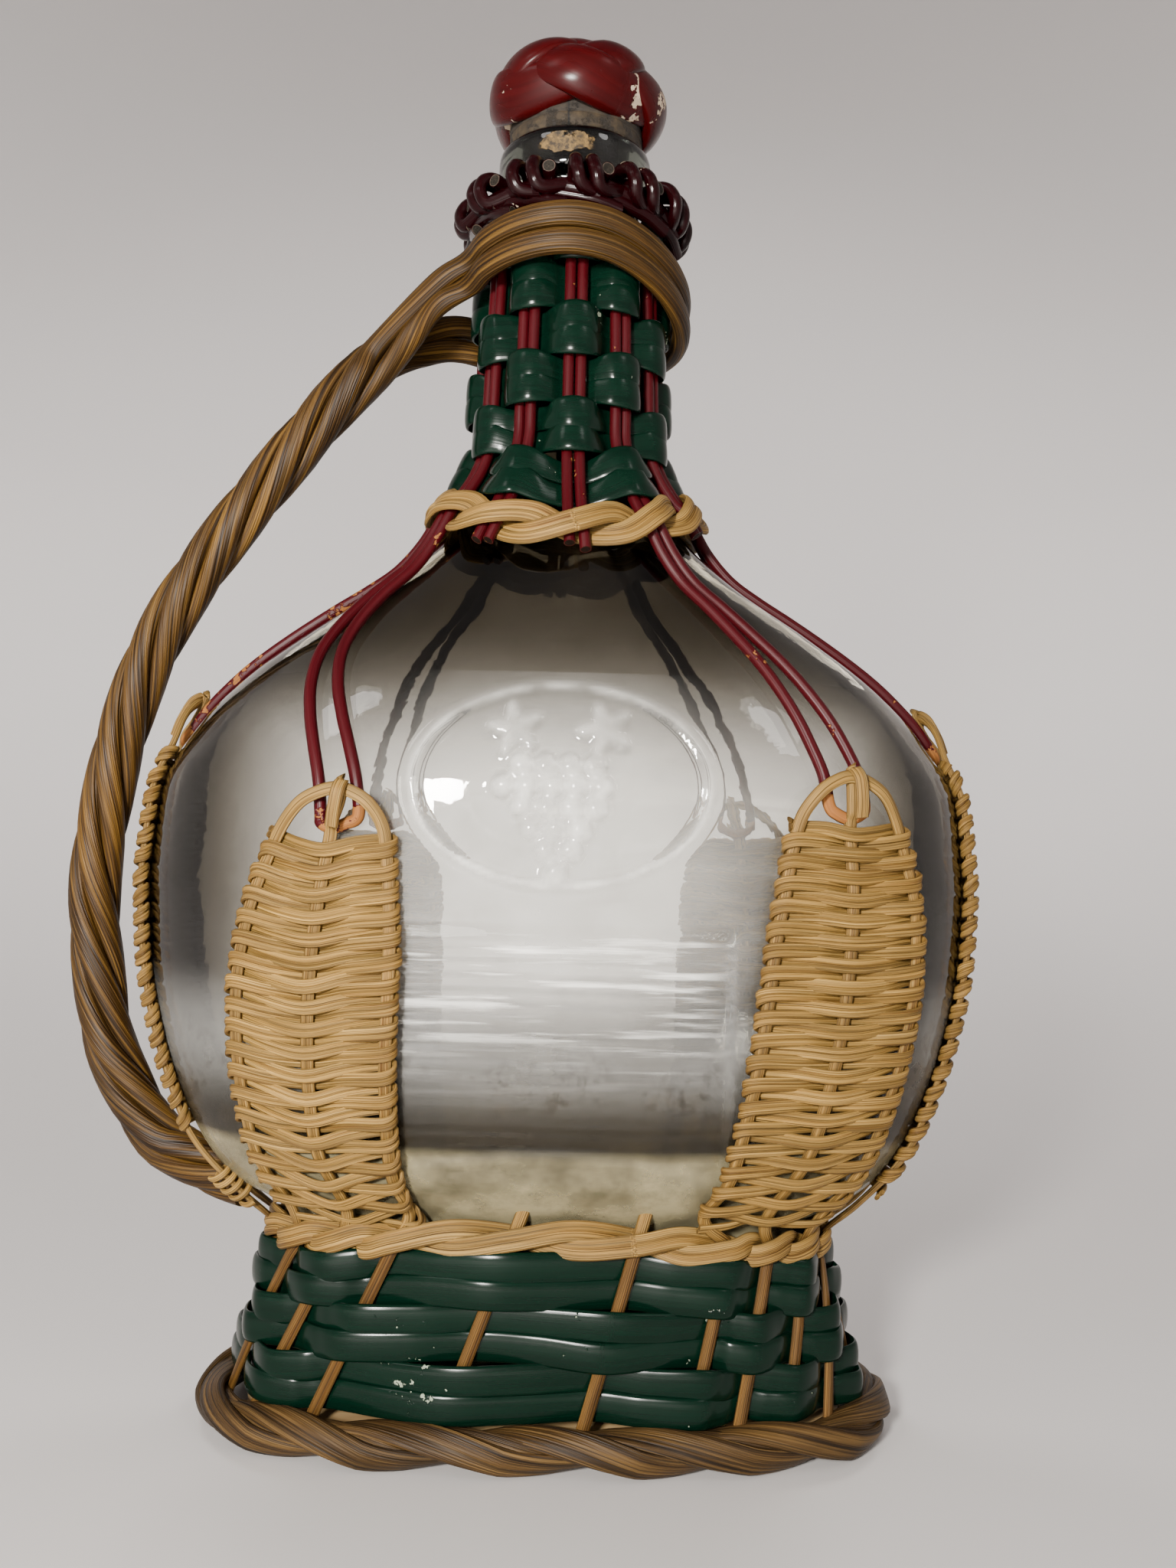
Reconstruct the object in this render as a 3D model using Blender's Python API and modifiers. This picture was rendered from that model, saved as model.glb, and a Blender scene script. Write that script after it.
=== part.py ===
"""A glass carafe in a woven cane cover, with a corked knob stopper and a twisted cane handle.

The front faces -Y, the handle is on the -X side and the underside of the base board is at z = 0.
Turns go round the bottle in radians: 0 is the front, and a quarter turn is +X.
"""

import functools
import math

import bmesh
import bpy
import numpy as np
from mathutils import Vector

MM = 0.001
QUARTER = math.pi / 2
FULL_TURN = 2 * math.pi

# Clearances: between pieces at rest on each other, between canes that cross, and between a cane and the glass
SEAT_GAP = 0.3 * MM
WEAVE_GAP = 0.45 * MM
LAY_GAP = 0.5 * MM

# Base board, inside the border of the foot
BOARD_THICK = 5.0 * MM
BOARD_EDGE_ROUND = 0.8 * MM
BOARD_CLEARANCE = 0.7 * MM

# Glass bottle
GLASS_WALL = 3.0 * MM
GLASS_FLOOR = 5.0 * MM
GLASS_HEEL = 4.0 * MM
PLINTH_TOP = 36.0 * MM
PLINTH_HALF_WIDTH = 49.2 * MM
PLINTH_HALF_DEPTH = 18.8 * MM
LOWER_BODY_HEIGHT = 74.0 * MM
BODY_WIDEST = PLINTH_TOP + LOWER_BODY_HEIGHT
BODY_HALF_WIDTH = 84.2 * MM
BODY_HALF_DEPTH = 40.5 * MM
SHOULDER_HEIGHT = 88.0 * MM
NECK_FOOT = BODY_WIDEST + SHOULDER_HEIGHT
NECK_LENGTH = 58.8 * MM
NECK_TOP_RADIUS = 14.2 * MM
NECK_FLARE = 2.2 * MM
NECK_FOOT_RADIUS = NECK_TOP_RADIUS + NECK_FLARE
NECK_WALL = 3.2 * MM
BORE_RADIUS = NECK_TOP_RADIUS - NECK_WALL
LIP_FOOT = NECK_FOOT + NECK_LENGTH
LIP_HEIGHT = 9.2 * MM
LIP_OVERHANG = 2.3 * MM
LIP_RADIUS = NECK_TOP_RADIUS + LIP_OVERHANG
LIP_ROUND = 1.6 * MM
GLASS_SPAN = 2.0 * MM
PANEL_RECESS = 0.8 * MM
PANEL_HALF_WIDTH = 31.0 * MM
BOTTLE_SIDES = 28

# Squareness of the outlines: 2 is an ellipse, more is squarer
ROUND_SQUARENESS = 2.0
BODY_SQUARENESS = 2.5
RING_SQUARENESS = 2.7

# Outline of the body, as shares: of the way up, then of the way out to the full width and to the full depth
LOWER_BODY_SHARES = (
    (0.0, 0.0, 0.0), (0.06, 0.06, 0.04), (0.11, 0.23, 0.16), (0.17, 0.45, 0.38), (0.26, 0.61, 0.64),
    (0.38, 0.74, 0.83), (0.58, 0.885, 0.95), (0.79, 0.973, 0.99), (1.0, 1.0, 1.0),
)
UPPER_BODY_SHARES = (
    (0.0, 1.0, 1.0), (0.20, 0.97, 0.972), (0.34, 0.873, 0.868), (0.46, 0.732, 0.72), (0.58, 0.53, 0.53),
    (0.70, 0.30, 0.35), (0.80, 0.155, 0.222), (0.90, 0.06, 0.106), (1.0, 0.0, 0.0),
)
PANEL_FOOT_SHARE = 0.30
PANEL_HEAD_SHARE = 0.25

# Stopper: a cork with a wide head, and a knob braided over it
CORK_PLUG_LENGTH = 24.0 * MM
CORK_PLUG_TAPER = 0.7 * MM
CORK_HEAD_STEP = 2.1 * MM
CORK_HEAD_RADIUS = LIP_RADIUS - CORK_HEAD_STEP
CORK_HEAD_HEIGHT = 6.8 * MM
CORK_CHAMFER = 0.7 * MM
CORK_SIDES = 20
KNOB_WALL = 2.2 * MM
KNOB_RADIUS = CORK_HEAD_RADIUS + SEAT_GAP + KNOB_WALL
KNOB_HEIGHT = 29.4 * MM
KNOB_OVERHANG = 5.4 * MM
KNOB_STRAND_HALF_WIDTH = 4.8 * MM
KNOB_STRAND_RISE = 2.2 * MM
KNOB_CROSSING_RISE = 0.6 * MM
KNOB_LEADS = 3
KNOB_BIGHTS = 5
KNOB_TURN = math.radians(36.0)
KNOB_SIDES = 33
KNOB_RINGS = 9

# Canes and strips
STAKE_RADIUS = 1.25 * MM
STAKE_LEAN_ROOM = 0.6 * MM
STAY_RADIUS = 1.2 * MM
HANDLE_CANE_RADIUS = 2.25 * MM
WAIST_STRAND_RADIUS = 1.45 * MM
NECK_STRAND_RADIUS = 1.45 * MM
STRIP_THICK = 1.3 * MM
STRIP_GROOVE = 0.5 * MM

# Woven foot, from the border on the floor up to the twined waist
WAIST_STAND_OFF = 6.8 * MM
WAIST_HALF_WIDTH = PLINTH_HALF_WIDTH + WAIST_STAND_OFF
WAIST_HALF_DEPTH = PLINTH_HALF_DEPTH + WAIST_STAND_OFF
WAIST_LIFT = 3.4 * MM
WAIST_HEIGHT = PLINTH_TOP + WAIST_LIFT
WAIST_SADDLE = 1.8 * MM
SKIRT_FLARE_WIDTH = 7.6 * MM
SKIRT_FLARE_DEPTH = 1.4 * MM
STAKE_FOOT_HALF_WIDTH = WAIST_HALF_WIDTH + SKIRT_FLARE_WIDTH
STAKE_FOOT_HALF_DEPTH = WAIST_HALF_DEPTH + SKIRT_FLARE_DEPTH
FOOT_BORDER_RADIUS = 4.1 * MM
FOOT_BORDER_STEP_WIDTH = 2.4 * MM
FOOT_BORDER_STEP_DEPTH = 1.2 * MM
FOOT_BORDER_HALF_WIDTH = STAKE_FOOT_HALF_WIDTH + FOOT_BORDER_STEP_WIDTH
FOOT_BORDER_HALF_DEPTH = STAKE_FOOT_HALF_DEPTH + FOOT_BORDER_STEP_DEPTH
BOARD_HALF_WIDTH = FOOT_BORDER_HALF_WIDTH - FOOT_BORDER_RADIUS - BOARD_CLEARANCE
BOARD_HALF_DEPTH = FOOT_BORDER_HALF_DEPTH - FOOT_BORDER_RADIUS - BOARD_CLEARANCE
FOOT_TWIST = 11.0 * MM
FOOT_ROWS = 3
STAKE_FOOT = 2 * FOOT_BORDER_RADIUS + 2 * SEAT_GAP
FOOT_WEAVE_TOP = WAIST_HEIGHT - 2 * WAIST_STRAND_RADIUS - 2 * WEAVE_GAP

# Petals: woven panels on a bent cane and a middle stake, which hold the body
PETAL_HALF_WIDTH = 14.8 * MM
PETAL_FOOT_LIFT = 9.6 * MM
PETAL_FOOT = WAIST_HEIGHT + PETAL_FOOT_LIFT
PETAL_EDGE = 2.2 * MM
PETAL_PANEL_DROP = 7.0 * MM
PETAL_STAKE_DROP = 11.0 * MM
PETAL_HOOK_DROP = 5.4 * MM
PETAL_ARCH_HEIGHT = 10.0 * MM
PETAL_PASSES = 8
PETAL_PASS_RISE = 0.6 * MM
PETAL_THICK = 1.1 * MM
PETAL_LAY_GAP = 0.9 * MM
# Share of the way up the frame, and share of its full half width
PETAL_FRAME_SHARES = (
    (0.0, 0.83), (0.08, 0.88), (0.17, 0.93), (0.34, 0.98), (0.50, 1.0), (0.63, 0.97), (0.74, 0.89),
    (0.84, 0.77), (0.915, 0.64), (0.965, 0.44), (0.99, 0.22),
)
# Turns at the foot and at the top, in degrees from the front
PETAL_TURNS = {
    "front_left": (-31.0, -23.0), "front_right": (36.0, 36.0), "right": (90.0, 90.0),
    "back_right": (149.0, 155.0), "back_left": (211.0, 205.0), "left": (270.0, 270.0),
}
# Shares of the way from the plinth to the neck: the arch's top, and the foot of the panel
PETAL_HEIGHT_SHARES = {
    "front_left": (0.556, 0.08), "front_right": (0.58, 0.08), "right": (0.66, 0.123),
    "back_right": (0.568, 0.08), "back_left": (0.568, 0.08), "left": (0.66, 0.167),
}
# Shares of the way round the waist from the front, where the three stakes cross it
PETAL_WAIST_SHARES = {
    "front_left": (-0.183, -0.147, -0.105), "front_right": (0.127, 0.158, 0.190),
    "right": (0.221, 0.250, 0.279), "back_right": (0.311, 0.346, 0.384),
    "back_left": (0.616, 0.654, 0.689), "left": (0.720, 0.750, 0.780),
}
STUB_SHARES = (-0.024, 0.062, 0.4565, 0.5435)
STUB_RISE = 1.0 * MM

# Neck weave: green strips round pairs of red canes
NECK_PAIRS = 12
NECK_PAIR_OFFSET = math.radians(4.0)
NECK_PAIR_SPREAD = 1.45 * MM
# The pair that runs down to each petal
PAIR_OF_PETAL = {"front_left": 10, "front_right": 1, "right": 3, "back_right": 5, "back_left": 7, "left": 9}
NECK_ROWS = 6
NECK_RING_DROP = 16.6 * MM
NECK_RING_HEIGHT = NECK_FOOT - NECK_RING_DROP
NECK_RING_SADDLE = 3.6 * MM
NECK_WEAVE_LIFT = 5.0 * MM
NECK_WEAVE_FOOT = NECK_RING_HEIGHT + NECK_WEAVE_LIFT
TOP_BORDER_RADIUS = 4.9 * MM
TOP_BORDER_HEIGHT = LIP_FOOT - LIP_ROUND / 2 - TOP_BORDER_RADIUS
NECK_WEAVE_HEAD = TOP_BORDER_HEIGHT - TOP_BORDER_RADIUS - 2 * SEAT_GAP
TOP_BORDER_TWISTS = 6
FOOT_BORDER_TWISTS = 12
BORDER_LOBES = 3
BORDER_LOBE_SHARE = 0.09
STAY_SPREAD = 3.5 * MM

# Handle: two canes, each up the twist, round the neck and down the twist again
HANDLE_TWIST_PITCH = 80.0 * MM
HANDLE_STEP = 10.0 * MM
HANDLE_LOOP_RISE = 12.4 * MM
HANDLE_LOOP_SPACING = 2.8 * MM
HANDLE_LEAVE_TURN = math.radians(60.0)
HANDLE_STAND_OFF = 14.7 * MM
HANDLE_BOW = 2.5 * MM
# Middle of the twist from its foot to its head, as shares: of the way from the plinth up to the loop's back,
# of the stand-off from the side of the glass there, and of the bow to the back
HANDLE_SHARES = (
    (0.076, 0.70, 0.0), (0.095, 0.85, 0.2), (0.139, 0.978, 0.6), (0.198, 1.06, 0.8), (0.278, 1.016, 1.0),
    (0.36, 1.015, 1.0), (0.439, 0.973, 0.8), (0.516, 1.114, 0.6), (0.587, 1.616, 0.4), (0.648, 2.309, 0.2),
    (0.701, 2.932, 0.0), (0.764, 3.237, 0.0), (0.844, 2.971, 0.0), (0.917, 2.231, 0.0), (0.970, 1.55, 0.0),
)

COLOURS = {
    "clear_glass": ((0.80, 0.83, 0.80), 0.06),
    "cork": ((0.27, 0.21, 0.14), 0.85),
    "knob_red": ((0.32, 0.02, 0.02), 0.35),
    "red_cane": ((0.20, 0.012, 0.02), 0.45),
    "dark_red_cane": ((0.12, 0.012, 0.018), 0.4),
    "green_strip": ((0.012, 0.09, 0.055), 0.3),
    "pale_cane": ((0.60, 0.42, 0.22), 0.6),
    "brown_cane": ((0.40, 0.25, 0.11), 0.6),
    "board_wood": ((0.62, 0.48, 0.28), 0.7),
}


def start_scene(name):
    """Removes what the scene holds and returns a new collection for the object."""
    for old in list(bpy.data.objects):
        bpy.data.objects.remove(old)
    collection = bpy.data.collections.new(name)
    bpy.context.scene.collection.children.link(collection)
    return collection


def material(name):
    """The material of that colour name, made at its first use."""
    found = bpy.data.materials.get(name)
    if found:
        return found
    colour, roughness = COLOURS[name]
    made = bpy.data.materials.new(name)
    made.use_nodes = True
    shader = made.node_tree.nodes["Principled BSDF"]
    shader.inputs["Base Color"].default_value = (*colour, 1.0)
    shader.inputs["Roughness"].default_value = roughness
    shader.inputs["Metallic"].default_value = 0.0
    made.diffuse_color = (*colour, 1.0)
    return made


def add_object(name, data, colour, collection):
    data.materials.append(material(colour))
    made = bpy.data.objects.new(name, data)
    collection.objects.link(made)
    return made


def add_skin(name, rings, colour, collection, closed=False, smooth_degrees=50.0):
    """A solid skinned over rings of points: open ends are capped, and a closed row of rings meets itself."""
    shape = bmesh.new()
    loops = [[shape.verts.new(point) for point in ring] for ring in rings]
    following = loops[1:] + (loops[:1] if closed else [])
    for near, far in zip(loops, following):
        for a, b, c, d in zip(near, near[1:] + near[:1], far[1:] + far[:1], far):
            shape.faces.new((a, b, c, d))
    if not closed:
        shape.faces.new(loops[0])
        shape.faces.new(loops[-1])
    bmesh.ops.recalc_face_normals(shape, faces=shape.faces)
    mesh = bpy.data.meshes.new(name)
    shape.to_mesh(mesh)
    shape.free()
    mesh.shade_smooth()
    mesh.set_sharp_from_angle(angle=math.radians(smooth_degrees))
    return add_object(name, mesh, colour, collection)


def add_cane(name, points, radius, colour, collection, closed=False, roundness=0):
    """A cane along a route, as a bevelled curve with filled ends: four-sided, or six-sided at roundness 1."""
    curve = bpy.data.curves.new(name, "CURVE")
    curve.dimensions = "3D"
    curve.bevel_depth = radius
    curve.bevel_resolution = roundness
    curve.use_fill_caps = True
    spline = curve.splines.new("POLY")
    spline.points.add(len(points) - 1)
    for place, point in zip(spline.points, points):
        place.co = (*point, 1.0)
    spline.use_cyclic_u = closed
    spline.use_smooth = True
    return add_object(name, curve, colour, collection)


def eased(shares, column, way):
    """Reads a column of a table of shares at a place in its first column, along a smooth curve without overshoot."""
    places = np.array([row[0] for row in shares])
    values = np.array([row[column] for row in shares])
    slopes = np.diff(values) / np.diff(places)
    product, total = slopes[:-1] * slopes[1:], slopes[:-1] + slopes[1:]
    bends = np.concatenate([
        slopes[:1], np.where(product > 0, 2 * product / np.where(product > 0, total, 1), 0), slopes[-1:],
    ])
    way = min(max(way, places[0]), places[-1])
    i = int(min(np.searchsorted(places, way, side="right"), len(places) - 1)) - 1
    step = places[i + 1] - places[i]
    u = (way - places[i]) / step
    return float(
        values[i] * (1 + 2 * u) * (1 - u) ** 2 + bends[i] * step * u * (1 - u) ** 2
        + values[i + 1] * u * u * (3 - 2 * u) + bends[i + 1] * step * u * u * (u - 1)
    )


def smooth_step(way):
    way = min(max(way, 0), 1)
    return way * way * (3 - 2 * way)


def outline(half_width, half_depth, squareness, turn):
    """The point of a squared ellipse at a turn from the front."""
    power = 2 / squareness
    side, front = math.sin(turn), math.cos(turn)
    x = half_width * math.copysign(abs(side) ** power, side)
    y = -half_depth * math.copysign(abs(front) ** power, front)
    return x, y


@functools.lru_cache(maxsize=None)
def glass_size(z):
    """Half width, half depth and squareness of the bottle's outside at a height."""
    if z <= PLINTH_TOP:
        return PLINTH_HALF_WIDTH, PLINTH_HALF_DEPTH, BODY_SQUARENESS
    if z <= BODY_WIDEST:
        way = (z - PLINTH_TOP) / (BODY_WIDEST - PLINTH_TOP)
        wide, deep = eased(LOWER_BODY_SHARES, 1, way), eased(LOWER_BODY_SHARES, 2, way)
        half_width = PLINTH_HALF_WIDTH + wide * (BODY_HALF_WIDTH - PLINTH_HALF_WIDTH)
        half_depth = PLINTH_HALF_DEPTH + deep * (BODY_HALF_DEPTH - PLINTH_HALF_DEPTH)
        return half_width, half_depth, BODY_SQUARENESS
    if z <= NECK_FOOT:
        way = (z - BODY_WIDEST) / (NECK_FOOT - BODY_WIDEST)
        wide, deep = eased(UPPER_BODY_SHARES, 1, way), eased(UPPER_BODY_SHARES, 2, way)
        half_width = NECK_FOOT_RADIUS + wide * (BODY_HALF_WIDTH - NECK_FOOT_RADIUS)
        half_depth = NECK_FOOT_RADIUS + deep * (BODY_HALF_DEPTH - NECK_FOOT_RADIUS)
        return half_width, half_depth, ROUND_SQUARENESS + wide * (BODY_SQUARENESS - ROUND_SQUARENESS)
    way = min((z - NECK_FOOT) / (LIP_FOOT - NECK_FOOT), 1)
    radius = NECK_FOOT_RADIUS + way * (NECK_TOP_RADIUS - NECK_FOOT_RADIUS)
    return radius, radius, ROUND_SQUARENESS


def glass_point(turn, z):
    half_width, half_depth, squareness = glass_size(z)
    return Vector((*outline(half_width, half_depth, squareness, turn), z))


def glass_normal(turn, z):
    """The direction straight out of the glass, read over a few millimetres so that it turns gently."""
    step, rise = math.radians(1), GLASS_SPAN
    along = glass_point(turn + step, z) - glass_point(turn - step, z)
    up = glass_point(turn, z + rise) - glass_point(turn, z - rise)
    return along.cross(up).normalized()


def off_glass(turn, z, stand_off):
    return glass_point(turn, z) + glass_normal(turn, z) * stand_off


def glass_gap(point):
    """How far a point is off the glass, with the direction out of it."""
    half_width, half_depth, squareness = glass_size(point.z)
    power = squareness / 2
    side = math.copysign(abs(point.x / half_width) ** power, point.x)
    front = math.copysign(abs(point.y / half_depth) ** power, -point.y)
    turn = math.atan2(side, front)
    out = glass_normal(turn, point.z)
    return (point - glass_point(turn, point.z)).dot(out), out


def laid(points, stand_off):
    """Moves a route's points outwards until its straight stretches also clear the curved glass."""
    points = [point.copy() for point in points]
    for _ in range(3):
        moves = [Vector() for _ in points]
        for i in range(len(points) - 1):
            for share in (0.0, 0.25, 0.5, 0.75, 1.0):
                gap, out = glass_gap(points[i].lerp(points[i + 1], share))
                if gap < stand_off:
                    for k in (i, i + 1):
                        if moves[k].length < stand_off - gap:
                            moves[k] = out * (stand_off - gap)
        for point, move in zip(points, moves):
            point += move
    return points


class Ring:
    """A squared ellipse whose places are shares of the way round it from the front, by length."""

    def __init__(self, half_width, half_depth, squareness=RING_SQUARENESS):
        self.size = (half_width, half_depth, squareness)
        self.turns = np.linspace(-math.pi, math.pi, 721)
        points = np.array([outline(*self.size, turn) for turn in self.turns])
        along = np.concatenate([[0.0], np.cumsum(np.hypot(*np.diff(points, axis=0).T))])
        self.length = float(along[-1])
        self.shares = along / self.length - 0.5

    def point(self, share, z, out=0.0):
        """The point at a share of the way round, moved outwards in its own plane."""
        turn, step = float(np.interp((share + 0.5) % 1.0 - 0.5, self.shares, self.turns)), math.radians(1)
        x, y = outline(*self.size, turn)
        ahead, behind = outline(*self.size, turn + step), outline(*self.size, turn - step)
        along = Vector((ahead[0] - behind[0], ahead[1] - behind[1], 0)).normalized()
        return Vector((x, y, z)) + along.cross(Vector((0, 0, 1))) * out


def smooth_route(points, step):
    """Points at even steps along a smooth curve through the given points."""
    rows = [2 * points[0] - points[1], *points, 2 * points[-1] - points[-2]]
    dense = []
    for a, b, c, d in zip(rows, rows[1:], rows[2:], rows[3:]):
        for i in range(16):
            u = i / 16
            dense.append(0.5 * (
                2 * b + (c - a) * u + (2 * a - 5 * b + 4 * c - d) * u**2 + (3 * b - a - 3 * c + d) * u**3
            ))
    dense.append(rows[-2])
    lengths = np.cumsum([0.0] + [(q - p).length for p, q in zip(dense, dense[1:])])
    wanted = np.linspace(0.0, lengths[-1], max(2, round(float(lengths[-1]) / step) + 1))
    return [Vector(p) for p in zip(*(np.interp(wanted, lengths, [p[k] for p in dense]) for k in range(3)))]


def make_board(collection):
    """The thin wooden board that carries the bottle: a flat outline with rounded edges."""
    edge = Ring(BOARD_HALF_WIDTH, BOARD_HALF_DEPTH)
    curve = bpy.data.curves.new("base_board", "CURVE")
    curve.dimensions = "2D"
    curve.fill_mode = "BOTH"
    curve.extrude = BOARD_THICK / 2 - BOARD_EDGE_ROUND
    curve.bevel_depth = BOARD_EDGE_ROUND
    curve.bevel_resolution = 0
    curve.offset = -BOARD_EDGE_ROUND
    spline = curve.splines.new("POLY")
    sides = 32
    spline.points.add(sides - 1)
    for i, place in enumerate(spline.points):
        place.co = (*edge.point(i / sides, 0.0), 1.0)
    spline.use_cyclic_u = True
    board = add_object("base_board", curve, "board_wood", collection)
    board.location.z = BOARD_THICK / 2


def glass_ring(z, inset, panels, level=None):
    """A ring of the bottle at a height, drawn in by an inset, flattened at the front and back where asked."""
    half_width, half_depth, squareness = glass_size(z)
    ring = []
    for i in range(BOTTLE_SIDES):
        x, y = outline(half_width - inset, half_depth - inset, squareness, FULL_TURN * i / BOTTLE_SIDES)
        if panels and abs(x) < PANEL_HALF_WIDTH:
            flat = half_depth - inset - PANEL_RECESS
            y = max(-flat, min(flat, y))
        ring.append(Vector((x, y, z if level is None else level)))
    return ring


def round_ring(radius, z, sides=BOTTLE_SIDES):
    return [Vector((*outline(radius, radius, ROUND_SQUARENESS, FULL_TURN * i / sides), z)) for i in range(sides)]


def make_bottle(collection):
    """The blown glass bottle: its outside, lip and inside as one open-mouthed skin."""
    floor = BOARD_THICK + SEAT_GAP
    lower = [PLINTH_TOP + row[0] * (BODY_WIDEST - PLINTH_TOP) for row in LOWER_BODY_SHARES]
    upper = [BODY_WIDEST + row[0] * (NECK_FOOT - BODY_WIDEST) for row in UPPER_BODY_SHARES]
    heights = lower + upper[1:]
    panel_foot = PLINTH_TOP + PANEL_FOOT_SHARE * (BODY_WIDEST - PLINTH_TOP)
    panel_head = BODY_WIDEST + PANEL_HEAD_SHARE * (NECK_FOOT - BODY_WIDEST)
    rings = [
        glass_ring(PLINTH_TOP, GLASS_HEEL, False, floor),
        glass_ring(PLINTH_TOP, GLASS_HEEL / 3, False, floor + GLASS_HEEL / 3),
        glass_ring(PLINTH_TOP, 0.0, False, floor + GLASS_HEEL),
    ]
    rings += [glass_ring(z, 0.0, panel_foot < z < panel_head) for z in heights]
    lip_top = LIP_FOOT + LIP_HEIGHT
    rings += [
        round_ring(NECK_TOP_RADIUS, LIP_FOOT - LIP_ROUND / 2),
        round_ring(LIP_RADIUS - LIP_ROUND / 3, LIP_FOOT),
        round_ring(LIP_RADIUS, LIP_FOOT + LIP_ROUND),
        round_ring(LIP_RADIUS, lip_top - LIP_ROUND),
        round_ring(LIP_RADIUS - LIP_ROUND, lip_top),
        round_ring(BORE_RADIUS, lip_top),
        round_ring(BORE_RADIUS, NECK_FOOT + LIP_HEIGHT),
    ]
    for z in reversed(heights[1:-1:2]):
        wall = min(GLASS_WALL, glass_size(z)[1] - BORE_RADIUS)
        rings.append(glass_ring(z, wall, panel_foot < z < panel_head))
    rings.append(glass_ring(PLINTH_TOP, GLASS_WALL, False, floor + GLASS_FLOOR + GLASS_HEEL))
    rings.append(glass_ring(PLINTH_TOP, GLASS_WALL + GLASS_HEEL, False, floor + GLASS_FLOOR))
    add_skin("bottle", rings, "clear_glass", collection, smooth_degrees=35.0)


def make_cork(collection):
    """The cork: a tapered plug in the bore and a wide head on the lip, turned from one profile."""
    plug = BORE_RADIUS - SEAT_GAP
    profile = (
        (0.0, CORK_HEAD_HEIGHT), (CORK_HEAD_RADIUS - CORK_CHAMFER, CORK_HEAD_HEIGHT),
        (CORK_HEAD_RADIUS, CORK_HEAD_HEIGHT - CORK_CHAMFER), (CORK_HEAD_RADIUS, CORK_CHAMFER),
        (CORK_HEAD_RADIUS - CORK_CHAMFER, 0.0), (plug, 0.0),
        (plug - CORK_PLUG_TAPER, CORK_CHAMFER - CORK_PLUG_LENGTH),
        (plug - CORK_PLUG_TAPER - CORK_CHAMFER, -CORK_PLUG_LENGTH), (0.0, -CORK_PLUG_LENGTH),
    )
    mesh = bpy.data.meshes.new("cork")
    edges = [(i, i + 1) for i in range(len(profile) - 1)]
    mesh.from_pydata([(radius, 0.0, height) for radius, height in profile], edges, [])
    cork = add_object("cork", mesh, "cork", collection)
    cork.location.z = LIP_FOOT + LIP_HEIGHT + SEAT_GAP
    screw = cork.modifiers.new("turning", "SCREW")
    screw.steps = CORK_SIDES
    screw.render_steps = CORK_SIDES
    screw.use_merge_vertices = True
    screw.merge_threshold = MM / 100


def direction_at(tilt, turn):
    """A direction at a tilt from straight up and a turn from the front."""
    return Vector((math.sin(tilt) * math.sin(turn), -math.sin(tilt) * math.cos(turn), math.cos(tilt)))


def braid_path():
    """Directions along the knob's strand, with how far it runs over (1) or under (-1) there."""
    middle, swing = math.radians(64.0), math.radians(45.0)
    rows = []
    for t in np.linspace(0.0, FULL_TURN * KNOB_LEADS, 720, endpoint=False):
        wave = KNOB_BIGHTS * t / KNOB_LEADS
        rows.append((*direction_at(middle + swing * math.cos(wave), t + KNOB_TURN), math.sin(2 * wave)))
    return np.array(rows)


def braid_rise(direction, path):
    """How far the braid stands out from the knob's core in a direction: the highest strand there."""
    away = np.arccos(np.clip(path[:, :3] @ np.array(direction), -1.0, 1.0)) * KNOB_RADIUS / KNOB_STRAND_HALF_WIDTH
    hump = np.sqrt(np.clip(1.0 - away**2, 0.0, 1.0))
    return float(np.max(hump * (KNOB_STRAND_RISE + KNOB_CROSSING_RISE * path[:, 3])))


def make_knob(collection):
    """The knob: one strand braided over and under itself round a ball, hollow below for the cork's head."""
    path = braid_path()
    socket = CORK_HEAD_RADIUS + SEAT_GAP
    ceiling = LIP_FOOT + LIP_HEIGHT + 2 * SEAT_GAP + CORK_HEAD_HEIGHT
    rim = ceiling - KNOB_OVERHANG
    rim_tilt = math.radians(120.0)
    middle = rim - KNOB_HEIGHT / 2 * math.cos(rim_tilt)
    rings = []
    for k in range(1, KNOB_RINGS + 1):
        ring = []
        for i in range(KNOB_SIDES):
            direction = direction_at(rim_tilt * k / KNOB_RINGS, FULL_TURN * i / KNOB_SIDES)
            rise = braid_rise(direction, path)
            reach, height = KNOB_RADIUS + rise, KNOB_HEIGHT / 2 + rise
            ring.append(Vector((direction.x * reach, direction.y * reach, middle + direction.z * height)))
        rings.append(ring)
    rings.append(round_ring(socket, middle + math.cos(rim_tilt) * KNOB_HEIGHT / 2, KNOB_SIDES))
    rings.append(round_ring(socket, ceiling, KNOB_SIDES))
    add_skin("knob", rings, "knob_red", collection, smooth_degrees=40.0)


def waist_level(share):
    """Height of the waist: a little higher at the front and back than at the sides."""
    return WAIST_HEIGHT + WAIST_SADDLE * math.cos(2 * FULL_TURN * share)


@functools.lru_cache(maxsize=None)
def skirt_ring(way):
    """The ring through the stakes' middles, from the foot border (0) to the waist (1)."""
    half_width = STAKE_FOOT_HALF_WIDTH + way * (WAIST_HALF_WIDTH - STAKE_FOOT_HALF_WIDTH)
    half_depth = STAKE_FOOT_HALF_DEPTH + way * (WAIST_HALF_DEPTH - STAKE_FOOT_HALF_DEPTH)
    return Ring(half_width, half_depth)


def skirt_point(share, way, out=0.0, up=0.0):
    """A place in the woven foot: round it, up it, and out from its stakes, which lean round as they rise."""
    ring = skirt_ring(way)
    z = STAKE_FOOT + way * (waist_level(share) - STAKE_FOOT)
    return ring.point(share - (1 - way) * FOOT_TWIST / ring.length, z + up, out)


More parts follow.
